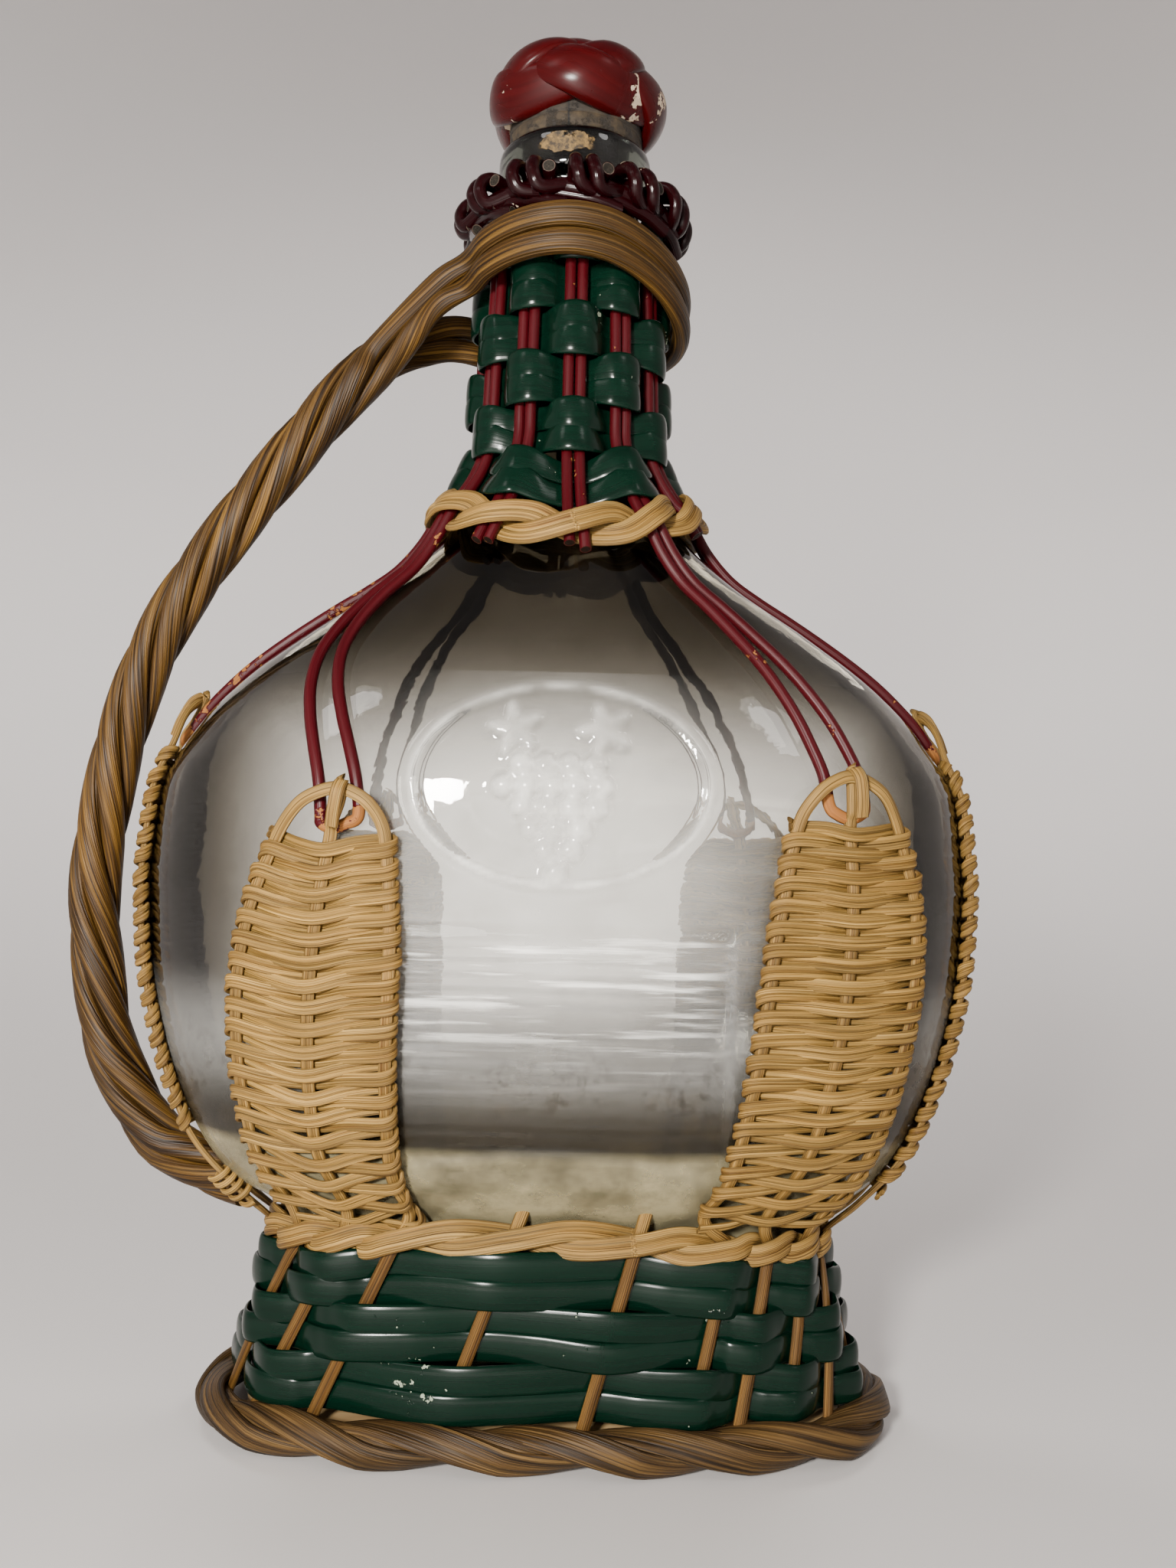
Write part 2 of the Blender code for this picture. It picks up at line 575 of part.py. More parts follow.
def weave_ways():
    """Heights in the woven foot between its rows, as shares of the way up to the waist."""
    top = (FOOT_WEAVE_TOP - STAKE_FOOT) / (WAIST_HEIGHT - STAKE_FOOT)
    return [top * row / FOOT_ROWS for row in range(FOOT_ROWS + 1)]


def skirt_leg(share):
    """A stake's route from the foot border up past the twined waist, straight all the way."""
    past = 1 + (WAIST_STRAND_RADIUS + WEAVE_GAP) / (WAIST_HEIGHT - STAKE_FOOT)
    return [skirt_point(share, way) for way in weave_ways() + [past]]


def stake_shares():
    """Where all stakes cross the waist, in order round it."""
    shares = [share for crossings in PETAL_WAIST_SHARES.values() for share in crossings] + list(STUB_SHARES)
    return sorted(share % 1.0 for share in shares)


def strip_ring(place, bottom, top, side_out):
    """One section of a double strip between two levels: place turns a level and a distance out into a point."""
    near, far = side_out - STRIP_THICK / 2, side_out + STRIP_THICK / 2
    low, high = place(bottom, far), place(top, far)
    groove = (low - place(bottom, near)).normalized() * STRIP_GROOVE
    return [place(bottom, near), low, (low + high) / 2 - groove, high, place(top, near)]


def make_foot(collection):
    """The woven foot: double green strips in and out of the stakes, and the plaited border on the floor."""
    shares, ways = stake_shares(), weave_ways()
    length = skirt_ring(1.0).length
    reach = (STAKE_RADIUS + WEAVE_GAP) / length
    swing = STAKE_RADIUS + WEAVE_GAP + STRIP_THICK / 2
    edge = WEAVE_GAP / (WAIST_HEIGHT - STAKE_FOOT) / 2
    for row in range(FOOT_ROWS):
        rings = []
        for i, share in enumerate(shares):
            side = 1 if (i + row) % 2 else -1
            for place in (share - reach, share + reach):
                rings.append(strip_ring(
                    lambda level, out, place=place: skirt_point(place, level, out),
                    ways[row] + edge, ways[row + 1] - edge, side * swing,
                ))
        add_skin(f"foot_strip_{row + 1}", rings, "green_strip", collection, closed=True)
    add_border("foot_border", Ring(FOOT_BORDER_HALF_WIDTH, FOOT_BORDER_HALF_DEPTH), FOOT_BORDER_RADIUS + SEAT_GAP,
               FOOT_BORDER_RADIUS, FOOT_BORDER_TWISTS, 36, "brown_cane", collection)


def add_border(name, path, height, radius, twists, steps, colour, collection):
    """A plaited border: a lobed section that turns as it goes round a ring."""
    sides = 3 * BORDER_LOBES - 1
    rings = []
    for k in range(steps):
        share = k / steps
        ring = []
        for i in range(sides):
            angle = FULL_TURN * i / sides
            lobe = math.cos(BORDER_LOBES * angle + FULL_TURN * twists * share)
            reach = radius * (1 - BORDER_LOBE_SHARE + BORDER_LOBE_SHARE * lobe)
            ring.append(path.point(share, height + reach * math.sin(angle), reach * math.cos(angle)))
        rings.append(ring)
    add_skin(name, rings, colour, collection, closed=True, smooth_degrees=60.0)


def twined_strand(shares, side, place, reach, swing, rise):
    """One of two strands twined round stakes: out past one, in past the next, half a turn round its mate between."""
    points = []
    for i, share in enumerate(shares):
        sign = side if i % 2 else -side
        after = shares[i + 1] if i + 1 < len(shares) else shares[0] + 1.0
        points += [place(share - reach, sign * swing, 0.0), place(share + reach, sign * swing, 0.0)]
        points.append(place((share + after) / 2, 0.0, sign * rise))
    return points


def make_waist(collection):
    """Two strands twined round the stakes at the waist."""
    swing = STAKE_RADIUS + WEAVE_GAP + WAIST_STRAND_RADIUS + STAKE_LEAN_ROOM
    rise = WAIST_STRAND_RADIUS + WEAVE_GAP
    reach = (STAKE_RADIUS + WEAVE_GAP) / skirt_ring(1.0).length
    for number, side in ((1, 1), (2, -1)):
        points = twined_strand(
            stake_shares(), side, lambda share, out, up: skirt_point(share, 1.0, out, up), reach, swing, rise)
        add_cane(f"waist_strand_{number}", points, WAIST_STRAND_RADIUS, "pale_cane", collection, closed=True)


class Petal:
    """Places on one petal: across it by length from its middle line, and up it by height."""

    def __init__(self, name):
        self.turns = [math.radians(turn) for turn in PETAL_TURNS[name]]
        self.top, self.panel_foot = (
            PLINTH_TOP + share * (NECK_FOOT - PLINTH_TOP) for share in PETAL_HEIGHT_SHARES[name])
        self.panel_top = self.top - PETAL_PANEL_DROP
        self.waist_shares = PETAL_WAIST_SHARES[name]

    def way(self, z):
        return (z - PETAL_FOOT) / (self.top - PETAL_FOOT)

    def turn(self, across, z):
        """The turn round the glass of a place that far across the petal."""
        turn = self.turns[0] + self.way(z) * (self.turns[1] - self.turns[0])
        pieces = 10
        for _ in range(pieces):
            step = math.radians(1)
            along = (glass_point(turn + step, z) - glass_point(turn, z)).length / step
            turn += across / pieces / along
        return turn

    def point(self, across, z, stand_off):
        return off_glass(self.turn(across, z), z, stand_off)

    def half_width(self, z):
        return PETAL_HALF_WIDTH * eased(PETAL_FRAME_SHARES, 1, self.way(z))

    def stake_off(self, z):
        """The stakes lie on the glass, and the arch lifts clear of the stay that hooks behind it."""
        lift = 2 * STAY_RADIUS + LAY_GAP
        return STAKE_RADIUS + LAY_GAP + lift * smooth_step(1 - (self.top - z) / PETAL_ARCH_HEIGHT)

    def leg(self, side):
        """The frame's route on one side, from its foot on the glass up to the arch."""
        heights = [PETAL_FOOT + row[0] * (self.top - PETAL_FOOT) for row in PETAL_FRAME_SHARES]
        return [self.point(side * self.half_width(z), z, self.stake_off(z)) for z in heights]


def make_petal(name, petal, collection):
    """One petal: a bent frame cane, a middle stake and the woven panel over them."""
    left, middle, right = petal.waist_shares
    clear = STAKE_RADIUS + SEAT_GAP
    arch = petal.point(0.0, petal.top, petal.stake_off(petal.top))
    body = laid(petal.leg(-1) + [arch] + petal.leg(1)[::-1], clear)
    frame = skirt_leg(left) + body + skirt_leg(right)[::-1]
    add_cane("petal_frame_" + name, frame, STAKE_RADIUS, "pale_cane", collection)
    heights = [PETAL_FOOT + (petal.top - PETAL_STAKE_DROP - PETAL_FOOT) * k / 6 for k in range(7)]
    stake = laid([petal.point(0.0, z, STAKE_RADIUS + LAY_GAP) for z in heights], clear)
    add_cane("petal_stake_" + name, skirt_leg(middle) + stake, STAKE_RADIUS, "pale_cane", collection)

    rings = []
    rows = 2 * PETAL_PASSES
    for k in range(rows + 1):
        z = petal.panel_foot + (petal.panel_top - petal.panel_foot) * k / rows
        half, lay = petal.half_width(z), petal.stake_off(z) + STAKE_RADIUS + PETAL_LAY_GAP
        rise = lay + PETAL_THICK + PETAL_PASS_RISE * (k % 2)
        over = PETAL_PASS_RISE * (1 if k % 4 == 1 else 0)
        front = [(-half - PETAL_EDGE, lay), (-half, rise), (0.0, rise + over), (half, rise),
                 (half + PETAL_EDGE, lay)]
        back = [(half, lay), (0.0, lay), (-half, lay)]
        rings.append([petal.point(across, z, out) for across, out in front + back])
    add_skin("petal_weave_" + name, rings, "pale_cane", collection)


def neck_level(turn, height):
    """Actual height of a level in the neck weave: its lower end is higher at the sides, where the shoulder is."""
    fade = 1 - smooth_step((height - NECK_RING_HEIGHT) / (NECK_WEAVE_HEAD - NECK_WEAVE_FOOT) * 2)
    return height - NECK_RING_SADDLE * math.cos(2 * turn) * fade


def neck_off(height):
    """How far the red canes' middles stand off the glass: over strips in the weave, more over the twined ring."""
    lying = STAY_RADIUS + LAY_GAP
    woven = lying + STRIP_THICK + WEAVE_GAP
    ringed = lying + 2 * NECK_STRAND_RADIUS + WEAVE_GAP
    if height >= NECK_RING_HEIGHT:
        return ringed + (woven - ringed) * smooth_step((height - NECK_RING_HEIGHT) / (NECK_WEAVE_FOOT - NECK_RING_HEIGHT))
    return ringed + (lying - ringed) * smooth_step((NECK_RING_HEIGHT - height) / (8 * NECK_STRAND_RADIUS))


def neck_point(turn, height, out=0.0, across=0.0):
    """A place in the neck weave: round it, up it, out from its canes and along it by length."""
    z = neck_level(turn, height)
    stand_off = neck_off(height)
    girth = sum(glass_size(z)[:2]) / 2 + stand_off
    return off_glass(turn + across / girth, z, stand_off + out)


def pair_turn(number):
    return NECK_PAIR_OFFSET + FULL_TURN * number / NECK_PAIRS


def neck_leg(turn, side):
    """One cane of a pair, from the top border down to the twined ring."""
    pitch = (NECK_WEAVE_HEAD - NECK_WEAVE_FOOT) / NECK_ROWS
    heights = [NECK_WEAVE_FOOT + pitch * row for row in (NECK_ROWS, 2, 1, 0)]
    return [neck_point(turn, height, across=side * NECK_PAIR_SPREAD) for height in heights + [NECK_RING_HEIGHT]]


def make_cut_pair(number, collection):
    """A pair of red canes that ends in cut tips just under the neck ring."""
    turn = pair_turn(number)
    foot = NECK_RING_HEIGHT - 3 * NECK_STRAND_RADIUS
    legs = [neck_leg(turn, side) + [neck_point(turn, foot, across=side * NECK_PAIR_SPREAD)] for side in (-1, 1)]
    add_cane(f"neck_canes_{number + 1:02d}", legs[0][::-1] + legs[1], STAY_RADIUS, "red_cane", collection)


def make_stay(name, petal, number, collection):
    """A red cane that runs down the neck, hooks behind the petal's arch and runs back up."""
    turn = pair_turn(number)
    turn -= FULL_TURN * round((turn - petal.turns[1]) / FULL_TURN)
    hook = petal.top - PETAL_HOOK_DROP
    end = NECK_RING_HEIGHT - 8 * NECK_STRAND_RADIUS
    legs = []
    for side in (-1, 1):
        leg = neck_leg(turn, side)
        leg.append(neck_point(turn, (NECK_RING_HEIGHT + end) / 2, across=side * NECK_PAIR_SPREAD))
        lying = []
        start = neck_level(turn, end)
        steps = 4
        for k in range(steps + 1):
            z = start + (hook - start) * k / steps
            way = (neck_level(turn, NECK_RING_HEIGHT) - z) / (neck_level(turn, NECK_RING_HEIGHT) - hook)
            middle = turn + (petal.turns[1] - turn) * smooth_step(way)
            spread = NECK_PAIR_SPREAD + (STAY_SPREAD - NECK_PAIR_SPREAD) * way
            girth = math.hypot(*(glass_point(middle + math.radians(1), z) - glass_point(middle, z)).xy)
            lying.append(off_glass(middle + side * spread / girth * math.radians(1), z, STAY_RADIUS + LAY_GAP))
        legs.append(leg + laid(lying, STAY_RADIUS + SEAT_GAP))
    bend = petal.point(0.0, hook - STAY_SPREAD / 2, STAY_RADIUS + LAY_GAP)
    add_cane("stay_" + name, legs[0] + [bend] + legs[1][::-1], STAY_RADIUS, "red_cane", collection)


def make_neck(collection):
    """Double green strips in and out of the red pairs, the twined ring below them and the border above."""
    pitch = (NECK_WEAVE_HEAD - NECK_WEAVE_FOOT) / NECK_ROWS
    swing = STAY_RADIUS + WEAVE_GAP + STRIP_THICK / 2
    reach = NECK_PAIR_SPREAD + STAY_RADIUS + WEAVE_GAP
    for row in range(NECK_ROWS):
        bottom = NECK_WEAVE_FOOT + pitch * row + WEAVE_GAP / 2
        rings = []
        for number in range(NECK_PAIRS):
            turn = pair_turn(number)
            out = swing if (number + row) % 2 else -swing
            for side in (-1, 1):
                rings.append(strip_ring(
                    lambda level, off, turn=turn, side=side: neck_point(turn, level, off, side * reach),
                    bottom, bottom + pitch - WEAVE_GAP, out,
                ))
        add_skin(f"neck_strip_{row + 1}", rings, "green_strip", collection, closed=True)

    def place(share, out, up):
        return neck_point(FULL_TURN * share, NECK_RING_HEIGHT + up, out)

    shares = [pair_turn(number) / FULL_TURN for number in range(NECK_PAIRS)]
    girth = sum(glass_size(NECK_RING_HEIGHT)[:2]) / 2 + neck_off(NECK_RING_HEIGHT)
    swing = STAY_RADIUS + WEAVE_GAP + NECK_STRAND_RADIUS
    for number, side in ((1, 1), (2, -1)):
        points = twined_strand(shares, side, place, reach / girth / FULL_TURN, swing, NECK_STRAND_RADIUS + WEAVE_GAP)
        add_cane(f"neck_ring_strand_{number}", points, NECK_STRAND_RADIUS, "pale_cane", collection, closed=True)
    radius = NECK_TOP_RADIUS + LAY_GAP + TOP_BORDER_RADIUS
    add_border("top_border", Ring(radius, radius, ROUND_SQUARENESS), TOP_BORDER_HEIGHT, TOP_BORDER_RADIUS,
               TOP_BORDER_TWISTS, 30, "dark_red_cane", collection)


def twisted_strand(middle_line, phase):
    """One strand of the handle's twist, at its phase round the middle line at the head."""
    offset = HANDLE_CANE_RADIUS * math.sqrt(2) + LAY_GAP
    last = len(middle_line) - 1
    points = []
    for i, point in enumerate(middle_line):
        along = (middle_line[min(i + 1, last)] - middle_line[max(i - 1, 0)]).normalized()
        forward = Vector((0, -1, 0))
        front = (forward - along * along.dot(forward)).normalized()
        angle = phase - FULL_TURN * (last - i) * HANDLE_STEP / HANDLE_TWIST_PITCH
        points.append(point + (front * math.cos(angle) - along.cross(front) * math.sin(angle)) * offset)
    return points


def make_handle(collection):
    """Two canes, each up the twist, round the neck in a slanting loop, and down the twist again."""
    weave_out = STAY_RADIUS + LAY_GAP + STRIP_THICK + WEAVE_GAP + STAY_RADIUS + WEAVE_GAP + STRIP_THICK
    loop = NECK_TOP_RADIUS + NECK_FLARE / 2 + weave_out + LAY_GAP + HANDLE_CANE_RADIUS
    aside = loop - (NECK_TOP_RADIUS + LAY_GAP + TOP_BORDER_RADIUS)
    clear = TOP_BORDER_RADIUS + HANDLE_CANE_RADIUS + LAY_GAP
    loop_front = TOP_BORDER_HEIGHT - HANDLE_LOOP_SPACING - math.sqrt(max(clear**2 - aside**2, 0.0))
    loop_back = loop_front - HANDLE_LOOP_RISE
    route = []
    for up_share, out_share, back_share in HANDLE_SHARES:
        z = PLINTH_TOP + up_share * (loop_back - PLINTH_TOP)
        route.append(Vector((-glass_size(z)[0] - out_share * HANDLE_STAND_OFF, back_share * HANDLE_BOW, z)))
    middle_line = smooth_route(route, HANDLE_STEP)
    for number, side in ((1, 1), (2, -1)):
        up_strand = twisted_strand(middle_line, side * QUARTER / 2)
        down_strand = twisted_strand(middle_line, math.pi - side * QUARTER / 2)
        points = []
        steps = 12
        for k in range(steps + 1):
            turn = -HANDLE_LEAVE_TURN + (math.pi + 2 * HANDLE_LEAVE_TURN) * k / steps
            z = loop_back + HANDLE_LOOP_RISE * ((1 + math.cos(turn)) / 2) ** 3 + side * HANDLE_LOOP_SPACING
            points.append(Vector((*outline(loop, loop, ROUND_SQUARENESS, turn), z)))
        route = up_strand[:-3] + smooth_route(
            up_strand[-3:] + points + down_strand[-3:][::-1], HANDLE_STEP * 0.8) + down_strand[:-3][::-1]
        add_cane(f"handle_cane_{number}", route, HANDLE_CANE_RADIUS, "brown_cane", collection, roundness=1)


def main():
    collection = start_scene("wicker_carafe")
    make_board(collection)
    make_bottle(collection)
    make_cork(collection)
    make_knob(collection)
    make_foot(collection)
    make_waist(collection)
    for number, share in enumerate(STUB_SHARES):
        stub = skirt_leg(share)
        stub.append(stub[-1] + Vector((0, 0, STUB_RISE)))
        add_cane(f"stub_stake_{number + 1}", stub, STAKE_RADIUS, "pale_cane", collection)
    for name, number in PAIR_OF_PETAL.items():
        petal = Petal(name)
        make_petal(name, petal, collection)
        make_stay(name, petal, number, collection)
    for number in range(NECK_PAIRS):
        if number not in PAIR_OF_PETAL.values():
            make_cut_pair(number, collection)
    make_neck(collection)
    make_handle(collection)


main()
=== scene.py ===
import math

import bpy
import numpy as np
from mathutils import Matrix, Vector


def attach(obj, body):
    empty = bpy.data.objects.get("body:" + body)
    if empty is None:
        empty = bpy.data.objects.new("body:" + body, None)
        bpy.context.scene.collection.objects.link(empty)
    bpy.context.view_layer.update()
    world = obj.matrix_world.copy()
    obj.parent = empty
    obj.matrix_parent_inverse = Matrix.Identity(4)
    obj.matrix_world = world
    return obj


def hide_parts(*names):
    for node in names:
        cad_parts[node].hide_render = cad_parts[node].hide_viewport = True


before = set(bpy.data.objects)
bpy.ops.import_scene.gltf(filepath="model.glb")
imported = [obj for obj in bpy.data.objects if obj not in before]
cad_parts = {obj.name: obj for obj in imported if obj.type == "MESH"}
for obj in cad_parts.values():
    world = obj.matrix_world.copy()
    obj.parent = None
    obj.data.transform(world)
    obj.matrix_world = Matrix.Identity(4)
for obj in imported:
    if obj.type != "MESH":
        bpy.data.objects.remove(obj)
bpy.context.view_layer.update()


# Table top and studio. The carafe stands on a pale table top that sweeps up all round it. A small bare flash
# stands left of the camera, as in the photograph; four soft lamps light the rest, of which the two behind
# show in no reflection, and a wide spot brightens the sweep behind.
MM = 0.001
TAU = 2 * math.pi


def new_material(name):
    """A material, the tree to build it in and its Principled shader."""
    made = bpy.data.materials.new(name)
    made.use_nodes = True
    return made, made.node_tree, made.node_tree.nodes["Principled BSDF"]


def grid_mesh(name, grid, look, close_across=True, caps=()):
    """A smooth mesh over rows of points. Rows may close on themselves, and first or last may be capped."""
    grid = np.asarray(grid, float)
    rows, columns = grid.shape[:2]
    index = np.arange(rows * columns).reshape(rows, columns)
    near, far = index[:-1], index[1:]
    if close_across:
        faces = np.stack([near, np.roll(near, -1, 1), np.roll(far, -1, 1), far], -1)
    else:
        faces = np.stack([near[:, :-1], near[:, 1:], far[:, 1:], far[:, :-1]], -1)
    faces = faces.reshape(-1, 4).tolist()
    if "first" in caps:
        faces.append(index[0][::-1].tolist())
    if "last" in caps:
        faces.append(index[-1].tolist())
    mesh = bpy.data.meshes.new(name)
    mesh.from_pydata(grid.reshape(-1, 3).tolist(), [], faces)
    mesh.shade_smooth()
    mesh.materials.append(look)
    made = bpy.data.objects.new(name, mesh)
    bpy.context.scene.collection.objects.link(made)
    return made


table_look, tree, shader = new_material("pale_table")
shader.inputs["Base Color"].default_value = (0.57, 0.548, 0.538, 1)
shader.inputs["Roughness"].default_value = 0.7
TABLE_PROFILE = [
    (0.02, 0.0), (0.3, 0.0), (0.5, 0.01), (0.7, 0.04), (0.9, 0.1), (1.1, 0.2), (1.3, 0.36), (1.5, 0.6),
    (1.65, 0.9), (1.75, 1.3), (1.8, 1.8), (1.82, 2.6), (1.82, 4.2)]
turns = np.linspace(0, TAU, 96, endpoint=False)
table_top = grid_mesh("table_top", [
    [(radius * math.cos(turn), radius * math.sin(turn), z) for turn in turns] for radius, z in TABLE_PROFILE],
    table_look, caps=("first",))

world = bpy.context.scene.world or bpy.data.worlds.new("studio")
bpy.context.scene.world = world
world.use_nodes = True
world.node_tree.nodes["Background"].inputs["Color"].default_value = (0.93, 0.94, 1.0, 1)
world.node_tree.nodes["Background"].inputs["Strength"].default_value = 0.15

SPOT_CONE = math.radians(84)
SOFT_LAMPS = ((-0.95, -0.95, 1.3, 7), (0.95, -0.95, 1.3, 7), (-0.52, 0.62, 0.82, 17), (0.52, 0.62, 0.82, 17))


def add_lamp(name, kind, place, radius, power, colour, aim=(0, 0, 0.12), mirrored=True):
    """A lamp turned to its aim. One that isn't mirrored gives light, but shows in no reflection."""
    light = bpy.data.lights.new(name, kind)
    light.energy, light.color, light.shadow_soft_size = power, colour, radius
    if kind == "SPOT":
        light.spot_size, light.spot_blend = SPOT_CONE, 1.0
    lamp = bpy.data.objects.new(name, light)
    lamp.location, lamp.visible_glossy = place, mirrored
    lamp.rotation_euler = (Vector(aim) - Vector(place)).to_track_quat("-Z", "Y").to_euler()
    bpy.context.scene.collection.objects.link(lamp)


add_lamp("flash", "POINT", (-0.13, -0.47, 0.21), radius=0.035, power=22.5, colour=(1.0, 0.965, 0.91))
for number, (*place, power) in enumerate(SOFT_LAMPS):
    add_lamp(f"soft_lamp_{number + 1}", "POINT", place, radius=0.175, power=power,
             colour=(1.0, 0.97, 0.95), mirrored=place[1] < 0)
add_lamp("wall_pool", "SPOT", (0.0, 0.35, 1.5), radius=0.15, power=40, colour=(1.0, 0.98, 0.96),
         aim=(0.0, 1.45, 0.30))

CAMERA_PLACE = (6.0 * MM, -277.0 * MM, 115.8 * MM)
CAMERA_TILT, CAMERA_ROLL = math.radians(93.0), math.radians(1.36)
camera = bpy.data.objects.new("camera", bpy.data.cameras.new("camera"))
camera.data.lens = 29.9
camera.data.sensor_width = 36.0
camera.data.clip_start = 0.01
camera.matrix_world = (Matrix.Translation(CAMERA_PLACE) @ Matrix.Rotation(CAMERA_TILT, 4, "X")
                       @ Matrix.Rotation(CAMERA_ROLL, 4, "Z"))
bpy.context.scene.collection.objects.link(camera)
bpy.context.scene.camera = camera


# Glass bottle. A clear mould-blown flask on a plinth that the woven foot hides: flattened front to back, with
# a sunk label panel, an oval medallion with grapes on it, and a rolled lip over a plain neck.
PLINTH_TOP, WIDEST, NECK_FOOT, LIP_FOOT = 36.0 * MM, 110.0 * MM, 198.0 * MM, 256.8 * MM
PLINTH_SIZE, WIDEST_SIZE, BODY_SQUARENESS = (49.2 * MM, 18.8 * MM), (84.2 * MM, 40.5 * MM), 2.5
NECK_FOOT_RADIUS, NECK_TOP_RADIUS = 16.4 * MM, 14.2 * MM
# Shares of the way up, and of the way out to the full width and the full depth
LOWER_SHARES = [
    (0.0, 0.0, 0.0), (0.06, 0.06, 0.04), (0.11, 0.23, 0.16), (0.17, 0.45, 0.38), (0.26, 0.61, 0.64),
    (0.38, 0.74, 0.83), (0.58, 0.885, 0.95), (0.79, 0.973, 0.99), (1.0, 1.0, 1.0)]
UPPER_SHARES = [
    (0.0, 1.0, 1.0), (0.20, 0.97, 0.972), (0.34, 0.873, 0.868), (0.46, 0.732, 0.72), (0.58, 0.53, 0.53),
    (0.70, 0.30, 0.35), (0.80, 0.155, 0.222), (0.90, 0.06, 0.106), (1.0, 0.0, 0.0)]


def eased(shares, column, ways):
    """Reads a column of a table of shares along a smooth curve that doesn't overshoot."""
    places, values = np.array(shares)[:, 0], np.array(shares)[:, column]
    slopes = np.diff(values) / np.diff(places)
    same = slopes[:-1] * slopes[1:] > 0
    bends = np.r_[slopes[0], np.where(same, 2 * slopes[:-1] * slopes[1:] / np.where(
        same, slopes[:-1] + slopes[1:], 1), 0), slopes[-1]]
    ways = np.clip(ways, places[0], places[-1])
    i = np.clip(np.searchsorted(places, ways, side="right") - 1, 0, len(places) - 2)
    step = places[i + 1] - places[i]
    u = (ways - places[i]) / step
    return (values[i] * (1 + 2 * u) * (1 - u) ** 2 + bends[i] * step * u * (1 - u) ** 2
            + values[i + 1] * u * u * (3 - 2 * u) + bends[i + 1] * step * u * u * (u - 1))


def smooth_step(low, high, value):
    way = np.clip((value - low) / (high - low), 0, 1)
    return way * way * (3 - 2 * way)


def glass_size(z):
    """Half width, half depth and squareness of the bottle's outside at heights."""
    low = np.clip((z - PLINTH_TOP) / (WIDEST - PLINTH_TOP), 0, 1)
    high = np.clip((z - WIDEST) / (NECK_FOOT - WIDEST), 0, 1)
    neck = np.clip((z - NECK_FOOT) / (LIP_FOOT - NECK_FOOT), 0, 1)
    wide, deep = eased(LOWER_SHARES, 1, low), eased(LOWER_SHARES, 2, low)
    top_wide, top_deep = eased(UPPER_SHARES, 1, high), eased(UPPER_SHARES, 2, high)
    radius = NECK_FOOT_RADIUS + neck * (NECK_TOP_RADIUS - NECK_FOOT_RADIUS)
    sizes = [
        np.where(z <= WIDEST, plinth + share * (widest - plinth), radius + top * (widest - NECK_FOOT_RADIUS))
        for plinth, widest, share, top in zip(PLINTH_SIZE, WIDEST_SIZE, (wide, deep), (top_wide, top_deep))]
    return *sizes, np.where(z <= WIDEST, BODY_SQUARENESS, 2.0 + (BODY_SQUARENESS - 2.0) * top_wide)


def squared(half_width, half_depth, squareness, turn):
    """Points of a squared ellipse at turns from the front."""
    side, front, power = np.sin(turn), np.cos(turn), 2 / squareness
    return (half_width * np.sign(side) * np.abs(side) ** power,
            -half_depth * np.sign(front) * np.abs(front) ** power)


def glass_point(turn, z):
    turn, z = np.broadcast_arrays(np.asarray(turn, float), np.asarray(z, float))
    return np.stack([*squared(*glass_size(z), turn), z], -1)


def unit(rows):
    return rows / np.maximum(np.linalg.norm(rows, axis=-1, keepdims=True), 1e-12)


def glass_out(turn, z):
    """Directions straight out of the glass."""
    step, rise = math.radians(1), 2 * MM
    return unit(np.cross(glass_point(turn + step, z) - glass_point(turn - step, z),
                         glass_point(turn, z + rise) - glass_point(turn, z - rise)))


def off_glass(turn, z, stand_off):
    return glass_point(turn, z) + glass_out(turn, z) * np.asarray(stand_off)[..., None]


# The front's relief in millimetres: grapes in each row and the row's shift, leaves' places and how they lean
GRAPE_ROWS, GRAPE_RADIUS = ((4, 0.0), (5, -1.0), (4, 0.4), (3, -0.2), (2, 0.3), (1, 0.0)), 2.45
LEAVES, LEAF_HEIGHT = ((-7.5, 0.5), (9.0, -0.6)), 138


def front_relief(x, z):
    """How far the front stands out of the plain outline, in millimetres, and how strongly a painted highlight
    marks it.
    """
    foot = 60 - 5 * (x / 31) ** 2
    panel = smooth_step(34, 32, np.abs(x)) * smooth_step(-1.2, 1.2, z - foot) * smooth_step(103, 99, z)
    ripples = (np.sin(2.33 * z + 0.6 * np.sin(0.13 * x))
               + np.sin(3.1 * z + 1.7 * np.sin(0.4 * z)) * np.sin(0.21 * z) ** 2)
    out = -0.9 * panel + 0.06 * panel * ripples
    oval = (np.hypot((x - 1) / 27.5, (z - 128) / 18.5) - 1) * 21
    out += 0.8 * np.exp(-(oval / 0.9) ** 2) + 0.2 * smooth_step(0.5, -0.5, oval)
    grapes = np.zeros_like(x)
    for row, (count, shift) in enumerate(GRAPE_ROWS):
        for k in range(count):
            across = (k - (count - 1) / 2) * 4.5 + shift
            far = np.hypot(x - 0.5 - across, z - 131.5 + 3.9 * row)
            grapes = np.maximum(grapes, 0.55 * np.sqrt(np.clip(GRAPE_RADIUS ** 2 - far ** 2, 0, None)))
    for middle, lean in LEAVES:
        angle = np.arctan2(z - LEAF_HEIGHT, x - middle) - lean
        edge = 4.6 * (1 + 0.28 * np.cos(5 * angle)) - np.hypot(x - middle, z - LEAF_HEIGHT)
        veins = 0.2 * np.exp(-(np.sin(2.5 * angle) * 3) ** 2) * smooth_step(0, 1, edge)
        grapes = np.maximum(grapes, 0.7 * smooth_step(-0.2, 1.6, edge) + veins)
    return out + grapes, np.clip(grapes / 1.1 + np.exp(-(oval / 0.8) ** 2), 0, 1)


